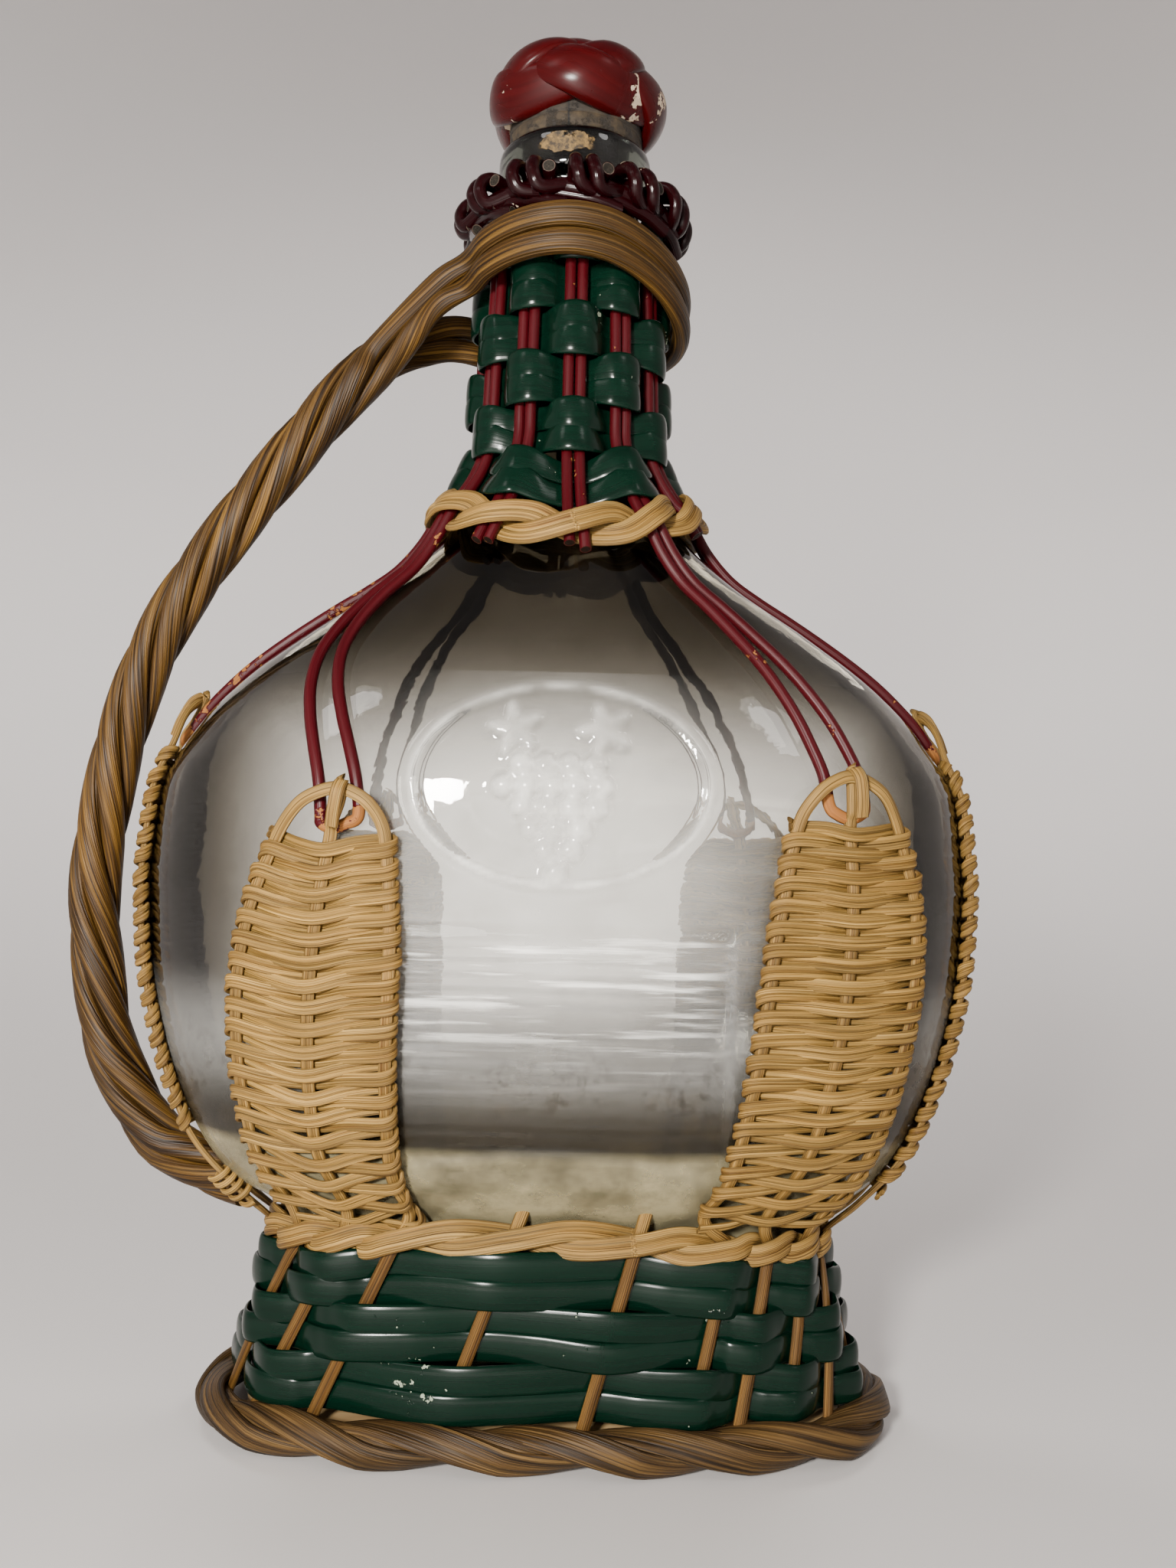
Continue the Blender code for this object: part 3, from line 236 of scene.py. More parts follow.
# Columns stand closer together on the front, where the relief is
dense = np.linspace(-math.pi, math.pi, 20001)
ring = np.stack(squared(*WIDEST_SIZE, BODY_SQUARENESS, dense), -1)
density = np.where((np.abs(ring[:, 0]) < 38 * MM) & (ring[:, 1] < 0), 2.2, 1.0)[1:]
travel = np.r_[0, np.cumsum(np.linalg.norm(np.diff(ring, axis=0), axis=1) * density)]
columns = np.interp(np.linspace(0, travel[-1], 300, endpoint=False), travel, dense)
BOARD_TOP, WALL, BORE = 5.3 * MM, 3.0 * MM, 11.0 * MM
FILM_FOOT, FILM_HEAD, FILM_OFF = 38 * MM, 150 * MM, 0.06 * MM


def glass_ring(z, inset=0.0, level=None):
    half_width, half_depth, squareness = glass_size(z)
    x, y = squared(half_width - inset, half_depth - inset, squareness, columns)
    return np.stack([x, y, np.full_like(x, z if level is None else level)], -1)


def round_ring(radius, z):
    return np.stack([*squared(radius, radius, 2.0, columns), np.full_like(columns, z)], -1)


rows = [glass_ring(PLINTH_TOP, inset * MM, BOARD_TOP + rise * MM) for inset, rise in (
    (16, 2.0), (10, 1.6), (7, 0.6), (5, 0.0), (3.4, 0.0), (1.9, 0.4), (0.8, 1.2), (0.2, 2.6), (0, 4))]
rows += [glass_ring(z * MM) for z in np.arange(14, 36, 4.0)]
film_rows, marks = [], []
for z in MM * np.r_[np.arange(36, 56, 1.2), np.arange(56, 103, 0.6), np.arange(103, 150, 0.8),
                    np.arange(150, 198, 1.5)]:
    row = glass_ring(z)
    facing = smooth_step(0, 8, -row[:, 1] / MM)
    raised, mark = front_relief(row[:, 0] / MM, row[:, 2] / MM)
    out = glass_out(columns, z)
    rows.append(row + out * (raised * facing * MM)[:, None])
    if FILM_FOOT < z < FILM_HEAD:
        film_rows.append(rows[-1] + out * FILM_OFF)
        marks.append(mark * facing)
rows += [glass_ring(z * MM) for z in np.arange(198, 256, 4.0)]
LIP_PROFILE = [
    (14.2, 255.4), (14.7, 256.3), (15.7, 256.8), (16.3, 257.5), (16.5, 258.6), (16.5, 262.5), (16.5, 263.9),
    (16.3, 265.0), (15.7, 265.7), (14.9, 266.0), (13.2, 266.0), (12.0, 265.9), (11.3, 265.4), (11.0, 264.4),
    (11.0, 240.0), (11.0, 215.0), (11.1, 207.0)]
rows += [round_ring(radius * MM, z * MM) for radius, z in LIP_PROFILE]
rows += [glass_ring(z * MM, min(WALL, float(glass_size(z * MM)[1]) - BORE) if z > 190 else WALL)
         for z in np.r_[np.arange(196, 110, -3.0), np.arange(110, 38, -4.0)]]
rows += [glass_ring(PLINTH_TOP, WALL + inset * MM, z * MM) for inset, z in (
    (0, 34), (0, 26), (0, 18), (0.4, 14.2), (1.4, 12.0), (3.2, 10.8), (6, 10.4), (10, 11.0))]


def fill(tree, node, inputs):
    """Gives a node's inputs, by name or number, sockets to link or plain values."""
    for key, value in inputs.items():
        if isinstance(value, bpy.types.NodeSocket):
            tree.links.new(value, node.inputs[key])
        else:
            node.inputs[key].default_value = value


def put(tree, kind, inputs=None, **settings):
    """Adds a node with its settings and its inputs."""
    made = tree.nodes.new(kind)
    for name, value in settings.items():
        setattr(made, name, value)
    fill(tree, made, inputs or {})
    return made


def own_place(tree):
    return put(tree, "ShaderNodeTexCoord").outputs["Object"]


def attribute(tree, name):
    return put(tree, "ShaderNodeAttribute", attribute_name=name).outputs["Fac"]


def split(tree, vector):
    return put(tree, "ShaderNodeSeparateXYZ", {0: vector}).outputs


def noise(tree, place, scale, detail=2.0, rough=0.5):
    inputs = {"Vector": place, "Scale": scale, "Detail": detail, "Roughness": rough}
    return put(tree, "ShaderNodeTexNoise", inputs).outputs["Fac"]


def reckon(tree, operation, *values):
    return put(tree, "ShaderNodeMath", dict(enumerate(values)), operation=operation).outputs[0]


def product(tree, first, *others):
    for other in others:
        first = reckon(tree, "MULTIPLY", first, other)
    return first


def reckon_vector(tree, operation, first, second=None):
    inputs = {0: first} if second is None else {0: first, "Scale" if operation == "SCALE" else 1: second}
    made = put(tree, "ShaderNodeVectorMath", inputs, operation=operation)
    return made.outputs["Value" if operation in ("LENGTH", "DISTANCE") else "Vector"]


def ranged(tree, value, low, high, first=0.0, last=1.0, kind="LINEAR"):
    """A value between low and high, stretched to run from first to last."""
    inputs = {0: value, 1: low, 2: high, 3: first, 4: last}
    return put(tree, "ShaderNodeMapRange", inputs, interpolation_type=kind).outputs[0]


def mixed(tree, way, first, last):
    """A colour part of the way from the first to the last."""
    return put(tree, "ShaderNodeMix", {0: way, 6: first, 7: last}, data_type="RGBA").outputs[2]


def bumped(tree, height, strength, distance, under=None, invert=False):
    """A normal raised by a height, on top of another one where there is one under it."""
    inputs = {"Strength": strength, "Distance": distance, "Height": height}
    if under is not None:
        inputs["Normal"] = under
    return put(tree, "ShaderNodeBump", inputs, invert=invert).outputs[0]


def new_group(name, outputs, inputs=()):
    """A shader node group with its named sockets."""
    group = bpy.data.node_groups.new(name, "ShaderNodeTree")
    for way, names in (("INPUT", inputs), ("OUTPUT", outputs)):
        for socket in names:
            group.interface.new_socket(socket, in_out=way, socket_type="NodeSocketFloat")
    return group


def soil_and_glow_group():
    """Where dried wine lies in the bottle: a slow noise, more low down and a crust there, and a painted
    highlight at the ledge.
    """
    group = new_group("bottle_soil_and_glow", ("Noise", "Low", "Crust", "LedgeGlow"))
    place = own_place(group)
    height = split(group, place)["Z"]
    slow = noise(group, place, 45.0, 6.0, 0.65)
    low = ranged(group, height, 0.094, 0.064, kind="SMOOTHSTEP")
    crust = product(group, ranged(group, slow, 0.5, 0.68), low)
    ledge_glow = product(group, ranged(group, height, 0.0610, 0.0585), ranged(group, slow, 0.35, 0.62, 0.35, 1.0))
    put(group, "NodeGroupOutput", {0: slow, 1: low, 2: crust, 3: ledge_glow})
    return group


SOIL_AND_GLOW = soil_and_glow_group()
CLEAN, STAIN_AND_SHADE = (1, 1, 1, 1), (0.13, 0.11, 0.072, 1)
THIN_GLASS, SHADED_EDGE_TINT, LIP_TINT = (0.97, 0.965, 0.92, 1), (0.11, 0.10, 0.075, 1), (0.13, 0.145, 0.12, 1)
CRUST_TINT, LEDGE_GLOW_TINT = (0.15, 0.11, 0.052, 1), (0.42, 0.37, 0.24, 1)

bottle_look, tree, shader = new_material("clear_glass")
place = own_place(tree)
sidelong, _, height = split(tree, place)
soil_and_glow = put(tree, "ShaderNodeGroup", node_tree=SOIL_AND_GLOW).outputs
# The glass is tinted darker low down, where dried wine lies, and at the shoulder and at the sides as painted
# shade.
high = ranged(tree, height, 0.126, 0.166, kind="SMOOTHSTEP")
sides = ranged(tree, reckon(tree, "ABSOLUTE", sidelong), 0.050, 0.082, kind="SMOOTHSTEP")
stain_and_shade = reckon(tree, "MAXIMUM", reckon(tree, "MAXIMUM", soil_and_glow["Low"], high), sides)
stain_and_shade = product(tree, stain_and_shade, ranged(tree, soil_and_glow["Noise"], 0.3, 0.7, 0.84, 0.96))
# Towards the outline, where the glass turns from the view, its tint darkens: painted shade.
edge = ranged(tree, put(tree, "ShaderNodeLayerWeight", {0: 0.5}).outputs["Facing"], 0.10, 0.72)
colour = reckon_vector(tree, "MULTIPLY", mixed(tree, edge, THIN_GLASS, SHADED_EDGE_TINT),
                       mixed(tree, stain_and_shade, CLEAN, STAIN_AND_SHADE))
colour = mixed(tree, soil_and_glow["Crust"], colour, CRUST_TINT)
# The pale golden tint at the ledge is a painted highlight.
colour = mixed(tree, soil_and_glow["LedgeGlow"], colour, LEDGE_GLOW_TINT)
colour = mixed(tree, ranged(tree, height, 0.2555, 0.2575), colour, LIP_TINT)
waves = bumped(tree, noise(tree, place, 28.0, 2.0, 0.4), 0.25, 0.004)
fill(tree, shader, {
    "Base Color": colour, "Transmission Weight": 1.0, "IOR": 1.5,
    "Roughness": ranged(tree, soil_and_glow["Crust"], 0.0, 1.0, 0.02, 0.45),
    "Normal": bumped(tree, noise(tree, place, 160.0, 3.0), 0.1, 0.0006, waves)})
bottle = grid_mesh("glass_bottle", rows, bottle_look, caps=("first", "last"))
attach(bottle, "vessel")
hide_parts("bottle")


# Film on the glass. A faint film lies just off the bottle: dried wine, brown and gritty near the foot, and a
# pale painted highlight, brightest in the middle of the front, on the raised marks and on the panel's level
# lines.
GLOW_MIDDLE = (0.0, -0.04, 0.108)
GLOW_WHITE, WINE = (0.95, 0.945, 0.89, 1), (0.020, 0.0150, 0.0062, 1)
CRUST, GRIT, LEDGE_GLOW = (0.060, 0.041, 0.014, 1), (0.022, 0.015, 0.006, 1), (0.54, 0.47, 0.27, 1)


def stretched(tree, place, scale):
    return put(tree, "ShaderNodeMapping", {"Vector": place, "Scale": scale}).outputs[0]


film_look, tree, shader = new_material("dried_film_and_glow")
place = own_place(tree)
sidelong, forward, height = split(tree, place)
soil_and_glow = put(tree, "ShaderNodeGroup", node_tree=SOIL_AND_GLOW).outputs
# A pale glow in the middle of the front is a painted highlight.
centre_glow = reckon_vector(tree, "DISTANCE", place, GLOW_MIDDLE)
centre_glow = ranged(tree, centre_glow, 0.052, 0.010, 0.0, 0.21, kind="SMOOTHSTEP")
residue_and_glow = product(tree, ranged(tree, soil_and_glow["Noise"], 0.3, 0.65, 0.6, 1.3), centre_glow)
wine = product(tree, soil_and_glow["Low"], ranged(tree, soil_and_glow["Noise"], 0.3, 0.6, 0.30, 0.52))
for part in (product(tree, soil_and_glow["Crust"], 0.35), wine):
    residue_and_glow = reckon(tree, "MAXIMUM", residue_and_glow, part)
# The medallion's raised marks are painted brighter: painted highlight.
raised = attribute(tree, "raised")
mark_glow = ranged(tree, noise(tree, place, 160.0, 3.0), 0.36, 0.60, 0.05, 0.24)
residue_and_glow = reckon(tree, "MULTIPLY_ADD", raised, mark_glow, residue_and_glow)
# Short bright streaks along the panel's level lines are painted highlights.
level_glints = noise(tree, stretched(tree, place, (34.0, 34.0, 600.0)), 1.0, 3.0, 0.6)
level_glints = product(
    tree, ranged(tree, level_glints, 0.50, 0.66, 0.0, 0.55),
    ranged(tree, height, 0.104, 0.098), ranged(tree, height, 0.066, 0.086),
    ranged(tree, reckon(tree, "ABSOLUTE", sidelong), 0.033, 0.026), ranged(tree, forward, -0.034, -0.036))
residue_and_glow = reckon(tree, "ADD", residue_and_glow, level_glints)
above_ledge = ranged(tree, height, 0.0605, 0.0630)
grit = product(tree, ranged(tree, noise(tree, place, 420.0, 4.0, 0.65), 0.50, 0.62),
               ranged(tree, soil_and_glow["Noise"], 0.40, 0.58), soil_and_glow["Low"], above_ledge)
# The pale band at the ledge is a painted highlight; the grit is dried wine.
for part in (product(tree, soil_and_glow["LedgeGlow"], 0.46), product(tree, grit, 0.75)):
    residue_and_glow = reckon(tree, "MAXIMUM", residue_and_glow, part)
colour = mixed(tree, soil_and_glow["Low"], GLOW_WHITE, WINE)
for mask, tint in ((soil_and_glow["Crust"], CRUST), (grit, GRIT), (soil_and_glow["LedgeGlow"], LEDGE_GLOW)):
    colour = mixed(tree, mask, colour, tint)
fill(tree, shader, {"Base Color": colour, "Alpha": residue_and_glow, "Roughness": 0.5})
film = grid_mesh("bottle_film", film_rows, film_look)
film.data.attributes.new("raised", "FLOAT", "POINT").data.foreach_set("value", np.ravel(marks))
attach(film, "vessel")
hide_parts("bottle")


# Seal scrap. What is left of a paper seal, torn and browned, clings to the front of the lip. Its patch lies
# just off the glass, and its alpha gives it the torn edge.
SCRAP_MIDDLE, SCRAP_RADIUS = (-0.0015, -0.0163, 0.2622), 16.57 * MM

scrap_look, tree, shader = new_material("seal_paper")
place = own_place(tree)
far = reckon_vector(tree, "SUBTRACT", place, SCRAP_MIDDLE)
far = reckon_vector(tree, "LENGTH", reckon_vector(tree, "MULTIPLY", far, (1.0, 1.0, 2.2)))
torn = reckon(tree, "ADD", ranged(tree, far, 0.004, 0.0095, 0.16, -0.2), noise(tree, place, 110.0, 5.0, 0.62))
speckle = ranged(tree, noise(tree, place, 900.0, 3.0, 0.7), 0.38, 0.64, 0.2, 1.9)
fill(tree, shader, {
    "Base Color": reckon_vector(tree, "SCALE", (0.085, 0.050, 0.013), speckle),
    "Alpha": ranged(tree, torn, 0.54, 0.57), "Roughness": 0.6})
bend = np.radians(np.linspace(-42, 34, 48))
scrap = grid_mesh("seal_scrap", [
    np.stack([SCRAP_RADIUS * np.sin(bend), -SCRAP_RADIUS * np.cos(bend), np.full(48, z * MM)], -1)
    for z in np.linspace(258.5, 264.0, 9)], scrap_look, close_across=False)
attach(scrap, "vessel")
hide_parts("bottle")


# Base board. A thin round-edged plywood board closes the foot: the bottle stands on it, and the rolled border
# of the foot grips its rim.
class Ring:
    """A squared ellipse whose places are shares of the way round it from the front, by length."""

    def __init__(self, half_width, half_depth, squareness=2.7):
        self.size = (half_width, half_depth, squareness)
        self.turns = np.linspace(-math.pi, math.pi, 1441)
        x, y = squared(*self.size, self.turns)
        along = np.r_[0, np.cumsum(np.hypot(np.diff(x), np.diff(y)))]
        self.length, self.shares = along[-1], along / along[-1] - 0.5

    def turn(self, share):
        return np.interp((np.asarray(share, float) + 0.5) % 1.0 - 0.5, self.shares, self.turns)


def outward(size, turn):
    """Directions straight out of a squared ellipse in its own plane."""
    step = math.radians(1)
    ahead, behind = np.stack(squared(*size, turn + step)), np.stack(squared(*size, turn - step))
    x, y = ahead - behind
    return unit(np.stack([y, -x, np.zeros_like(x)], -1))


def ring_place(ring, share, z, out=0.0):
    turn = ring.turn(share)
    return (np.stack([*squared(*ring.size, turn), np.broadcast_to(z, turn.shape)], -1)
            + outward(ring.size, turn) * np.asarray(out)[..., None])


def ramp(tree, value, *stops):
    """Colours along a value; a stop is a place and a colour."""
    made = put(tree, "ShaderNodeValToRGB", {0: value})
    elements = made.color_ramp.elements
    for element, (place, colour) in zip(elements, (stops[0], stops[-1])):
        element.position, element.color = place, (*colour, 1)
    for place, colour in stops[1:-1]:
        elements.new(place).color = (*colour, 1)
    return made.outputs[0]


board_look, tree, shader = new_material("board_wood")
grain = noise(tree, stretched(tree, own_place(tree), (9.0, 160.0, 160.0)), 2.0, 6.0, 0.6)
fill(tree, shader, {
    "Base Color": ramp(tree, grain, (0.32, (0.20, 0.12, 0.05)), (0.68, (0.42, 0.29, 0.14))),
    "Roughness": 0.62, "Normal": bumped(tree, grain, 0.3, 0.0003)})

rim = Ring(60.8 * MM, 23.1 * MM)
around = np.linspace(-0.5, 0.5, 192, endpoint=False)
BOARD_EDGE = [
    (12, 0.0), (1.1, 0.0), (0.5, 0.15), (0.13, 0.5), (0, 1.1), (0, 3.9), (0.13, 4.5), (0.5, 4.85), (1.1, 5.0),
    (12, 5.0)]
board = grid_mesh("plywood_board", [ring_place(rim, around, z * MM, -inset * MM) for inset, z in BOARD_EDGE],
                  board_look, caps=("first", "last"))
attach(board, "vessel")
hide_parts("base_board")


# Stakes. Split rattan canes stand in the foot, lean round as they rise and go on up the glass: two legs and
# an arch make each petal's frame and a third cane runs up its middle; four short ones end over the waist.
def cane_tree():
    """Geometry nodes that sweep a flattened cane along each path of a mesh of edges, turned to its facing."""
    tree = bpy.data.node_groups.new("cane_along_path", "GeometryNodeTree")
    tree.interface.new_socket("Geometry", in_out="INPUT", socket_type="NodeSocketGeometry")
    for name, kind in (("Width", "Float"), ("Thickness", "Float"), ("Squareness", "Float"), ("Sides", "Int"),
                       ("Material", "Material")):
        tree.interface.new_socket(name, in_out="INPUT", socket_type="NodeSocket" + kind)
    tree.interface.new_socket("Geometry", in_out="OUTPUT", socket_type="NodeSocketGeometry")
    entry = put(tree, "NodeGroupInput").outputs

    def named(name, kind="FLOAT"):
        found = put(tree, "GeometryNodeInputNamedAttribute", {"Name": name}, data_type=kind)
        return found.outputs["Attribute"]

    def stored(geometry, name, value, kind="FLOAT"):
        inputs = {"Geometry": geometry, "Name": name, "Value": value}
        return put(tree, "GeometryNodeStoreNamedAttribute", inputs, data_type=kind, domain="POINT").outputs[0]

    path = put(tree, "GeometryNodeMeshToCurve", {"Mesh": entry["Geometry"]}).outputs[0]
    path = put(tree, "GeometryNodeSetCurveNormal", {"Curve": path, "Normal": named("facing", "FLOAT_VECTOR")},
               mode="FREE").outputs[0]
    length = put(tree, "GeometryNodeSplineParameter").outputs["Length"]
    path = stored(path, "along", reckon(tree, "ADD", length, product(tree, named("strand"), 0.37)))
    circle = put(tree, "GeometryNodeCurvePrimitiveCircle", {"Resolution": entry["Sides"], "Radius": 1.0})
    spot = split(tree, put(tree, "GeometryNodeInputPosition").outputs[0])
    power = reckon(tree, "DIVIDE", 2.0, entry["Squareness"])
    through_it, across = (
        product(tree, reckon(tree, "SIGN", spot[axis]),
                reckon(tree, "POWER", reckon(tree, "ABSOLUTE", spot[axis]), power)) for axis in "XY")
    section = put(tree, "ShaderNodeCombineXYZ", {0: through_it, 1: across}).outputs[0]
    profile = stored(circle.outputs[0], "section", section, "FLOAT_VECTOR")
    sized = put(tree, "ShaderNodeCombineXYZ", {
        0: product(tree, through_it, entry["Thickness"], 0.5), 1: product(tree, across, entry["Width"], 0.5)})
    profile = put(tree, "GeometryNodeSetPosition", {"Geometry": profile, "Position": sized.outputs[0]})
    swept = put(tree, "GeometryNodeCurveToMesh", {
        "Curve": path, "Profile Curve": profile.outputs[0], "Scale": named("girth"), "Fill Caps": True})
    plain = put(tree, "GeometryNodeRealizeInstances", {0: swept.outputs[0]})
    dressed = put(tree, "GeometryNodeSetMaterial", {0: plain.outputs[0], "Material": entry["Material"]})
    put(tree, "NodeGroupOutput", {0: dressed.outputs[0]})
    return tree


SWEEP = cane_tree()


def add_canes(name, strands, look, width, thick, closed=False, squareness=2.3, sides=10):
    """Canes along paths, as one plain mesh. A path's rows hold place, facing, girth and how bare it is."""
    places, edges, numbers = [], [], []
    for number, strand in enumerate(strands):
        strand = np.asarray(strand, float)
        strand = np.hstack([strand, np.tile([1.0, 0.0], (len(strand), 1))[:, strand.shape[1] - 6:]])
        first = len(numbers)
        index = first + np.arange(len(strand))
        edges += np.stack([index[:-1], index[1:]], -1).tolist()
        edges += [[int(index[-1]), first]] if closed else []
        numbers += [number] * len(strand)
        places.append(strand)
    places = np.vstack(places)
    mesh = bpy.data.meshes.new(name)
    mesh.from_pydata(places[:, :3].tolist(), edges, [])
    facing = mesh.attributes.new("facing", "FLOAT_VECTOR", "POINT")
    facing.data.foreach_set("vector", unit(places[:, 3:6]).ravel())
    for mark, values in (("girth", places[:, 6]), ("bare", places[:, 7]), ("strand", numbers)):
        mesh.attributes.new(mark, "FLOAT", "POINT").data.foreach_set("value", values)
    made = bpy.data.objects.new(name, mesh)
    bpy.context.scene.collection.objects.link(made)
    modifier = made.modifiers.new("cane", "NODES")
    modifier.node_group = SWEEP
    values = {"Width": width, "Thickness": thick, "Squareness": squareness, "Sides": sides, "Material": look}
    for socket in SWEEP.interface.items_tree:
        if socket.name in values:
            modifier[socket.identifier] = values[socket.name]
    plain = bpy.data.meshes.new_from_object(made.evaluated_get(bpy.context.evaluated_depsgraph_get()))
    made.modifiers.clear()
    made.data = plain
    bpy.data.meshes.remove(mesh)
    return made


def through(rows, count, closed=False):
    """Rows of numbers along a smooth curve through the given rows, with count steps from each to the next."""
    rows = np.asarray(rows, float)
    if closed:
        rows = np.vstack([rows[-1:], rows, rows[:2]])
    else:
        rows = np.vstack([2 * rows[:1] - rows[1:2], rows, 2 * rows[-1:] - rows[-2:-1]])
    u = (np.arange(count) / count)[None, :, None]
    a, b, c, d = (rows[i:len(rows) - 3 + i, None] for i in range(4))
    curve = 0.5 * (2 * b + (c - a) * u + (2 * a - 5 * b + 4 * c - d) * u**2 + (3 * b - a - 3 * c + d) * u**3)
    curve = curve.reshape(-1, rows.shape[1])
    return curve if closed else np.vstack([curve, rows[-2:-1]])


def fibre_group():
    """Marks on a cane from its own section and length: fine ribs, streaks, slow blotches and the cut ends."""
    group = new_group("cane_fibre", ("Ribs", "Streak", "Blotch", "Cut"))
    section = put(group, "ShaderNodeAttribute", attribute_name="section").outputs["Vector"]
    along = attribute(group, "along")
    through_it, across, _ = split(group, section)
    marks = []
    for round_it, length_way, detail in ((7.5, 6.0, 1.0), (3.0, 24.0, 5.0), (0.6, 48.0, 2.0)):
        spot = put(group, "ShaderNodeCombineXYZ", {
            0: product(group, through_it, round_it), 1: product(group, across, round_it),
            2: product(group, along, length_way)}).outputs[0]
        marks.append(noise(group, spot, 1.0, detail, 0.6))
    marks.append(ranged(group, reckon_vector(group, "LENGTH", section), 0.88, 0.8))
    put(group, "NodeGroupOutput", dict(enumerate(marks)))
    return group


FIBRE = fibre_group()
BROWNED = (0.42, 0.345, 0.26, 1)


def cane_material(name, colours, gloss=0.5):
    """Bare cane: streaked dark to pale along its fibres, blotched darker, ribbed, with painted shade in the
    ribs' grooves.
    """
    look, tree, shader = new_material(name)
    fibre = put(tree, "ShaderNodeGroup", node_tree=FIBRE).outputs
    blotched = ranged(tree, fibre["Blotch"], 0.35, 0.65, 0.6, 1.12)
    # The grooves between the ribs are darkened: painted shade.
    groove_shade = ranged(tree, fibre["Ribs"], 0.40, 0.5, 0.38, 1.0)
    tone = product(tree, blotched, groove_shade, ranged(tree, fibre["Cut"], 0.0, 1.0, 1.0, 0.6))
    shade = reckon_vector(tree, "SCALE", ramp(tree, fibre["Streak"], *zip((0.3, 0.47, 0.72), colours)), tone)
    bareness = attribute(tree, "bare")
    fill(tree, shader, {
        "Base Color": reckon_vector(tree, "MULTIPLY", shade, mixed(tree, bareness, CLEAN, BROWNED)),
        "Roughness": ranged(tree, fibre["Streak"], 0.0, 1.0, gloss - 0.1, gloss + 0.15),
        "Specular IOR Level": 0.2, "Normal": bumped(tree, fibre["Ribs"], 0.7, 0.0004)})
    return look


pale_look = cane_material("pale_cane", ((0.095, 0.041, 0.0085), (0.270, 0.150, 0.036), (0.47, 0.300, 0.092)))

WAIST_HEIGHT, STAKE_FOOT, FOOT_TWIST, WAIST_SADDLE = 39.4 * MM, 8.8 * MM, 11.0 * MM, 1.8 * MM
foot_ring, waist_ring = Ring(63.6 * MM, 27.0 * MM), Ring(56.0 * MM, 25.6 * MM)


def waist_level(share):
    return WAIST_HEIGHT + WAIST_SADDLE * np.cos(2 * TAU * share)


def skirt_point(share, way, out=0.0, up=0.0):
    """Places in the woven foot with the way out of it: round it, up it, out from its stakes."""
    share, way, out, up = np.broadcast_arrays(*(np.asarray(value, float) for value in (share, way, out, up)))
    length = foot_ring.length + way * (waist_ring.length - foot_ring.length)
    place = share - (1 - way) * FOOT_TWIST / length
    turn = (1 - way) * foot_ring.turn(place) + way * waist_ring.turn(place)
    half_width, half_depth = (
        low + way * (high - low) for low, high in zip(foot_ring.size[:2], waist_ring.size[:2]))
    size = (half_width, half_depth, foot_ring.size[2])
    facing = outward(size, turn)
    z = STAKE_FOOT + way * (waist_level(share) - STAKE_FOOT) + up
    return np.hstack([np.stack([*squared(*size, turn), z], -1) + facing * out[..., None], facing])


PETAL_FOOT, PETAL_HALF_WIDTH = 49.0 * MM, 14.8 * MM
FRAME_SHARES = [
    (0.0, 0.83), (0.08, 0.88), (0.17, 0.93), (0.34, 0.98), (0.50, 1.0), (0.63, 0.97), (0.74, 0.89),
    (0.84, 0.77), (0.915, 0.64), (0.965, 0.44), (0.99, 0.22)]
# Turns at the foot and at the top, heights of the top and of the lowest pass, shares round the waist
PETALS = {
    "front_left": ((-31.0, -23.0), 126.1, 47.6, (-0.183, -0.147, -0.105)),
    "front_right": ((36.0, 36.0), 130.0, 48.2, (0.127, 0.158, 0.190)),
    "right": ((90.0, 90.0), 142.9, 52.0, (0.221, 0.250, 0.279)),
    "back_right": ((149.0, 155.0), 128.0, 47.6, (0.311, 0.346, 0.384)),
    "back_left": ((211.0, 205.0), 128.0, 47.6, (0.616, 0.654, 0.689)),
    "left": ((270.0, 270.0), 142.9, 61.0, (0.720, 0.750, 0.780)),
}
SHORT_STAKES = (-0.024, 0.062, 0.4565, 0.5435)
STAKE_OFF, ARCH_LIFT, STEP_TURN = 1.75 * MM, 2.6 * MM, 0.0175


def glass_girth(turn, z):
    """Length round the glass for each radian of turn."""
    return np.linalg.norm(glass_point(turn + STEP_TURN, z) - glass_point(turn, z), axis=-1) / STEP_TURN


def petal_point(name, across, z, off):
    """Places on a petal with the way out of the glass: across it by length, up it, and off the glass."""
    across, z, off = np.broadcast_arrays(*(np.asarray(value, float) for value in (across, z, off)))
    (foot_turn, top_turn), top = np.radians(PETALS[name][0]), PETALS[name][1] * MM
    turn = foot_turn + (z - PETAL_FOOT) / (top - PETAL_FOOT) * (top_turn - foot_turn)
    for _ in range(10):
        turn = turn + across / 10 / glass_girth(turn, z)
    return np.hstack([off_glass(turn, z, off), glass_out(turn, z)])


def petal_half(name, z):
    top = PETALS[name][1] * MM
    return PETAL_HALF_WIDTH * eased(FRAME_SHARES, 1, (z - PETAL_FOOT) / (top - PETAL_FOOT))


def stake_off(name, z):
    """The stakes lie over the rear passes, and the arch lifts clear of the red cane that hooks behind it."""
    return STAKE_OFF + ARCH_LIFT * smooth_step(0.0, 1.0, 1 - (PETALS[name][1] * MM - z) / (10 * MM))


def darker_foot(path):
    """A stake's path with its girth, and how much browner it is inside the foot."""
    return np.hstack([path[:, :6], np.ones((len(path), 1)), smooth_step(45 * MM, 40 * MM, path[:, 2:3])])


WAIST_WAYS = np.array([-0.1, 0.0, 0.3, 0.6, 0.9, 1.04])
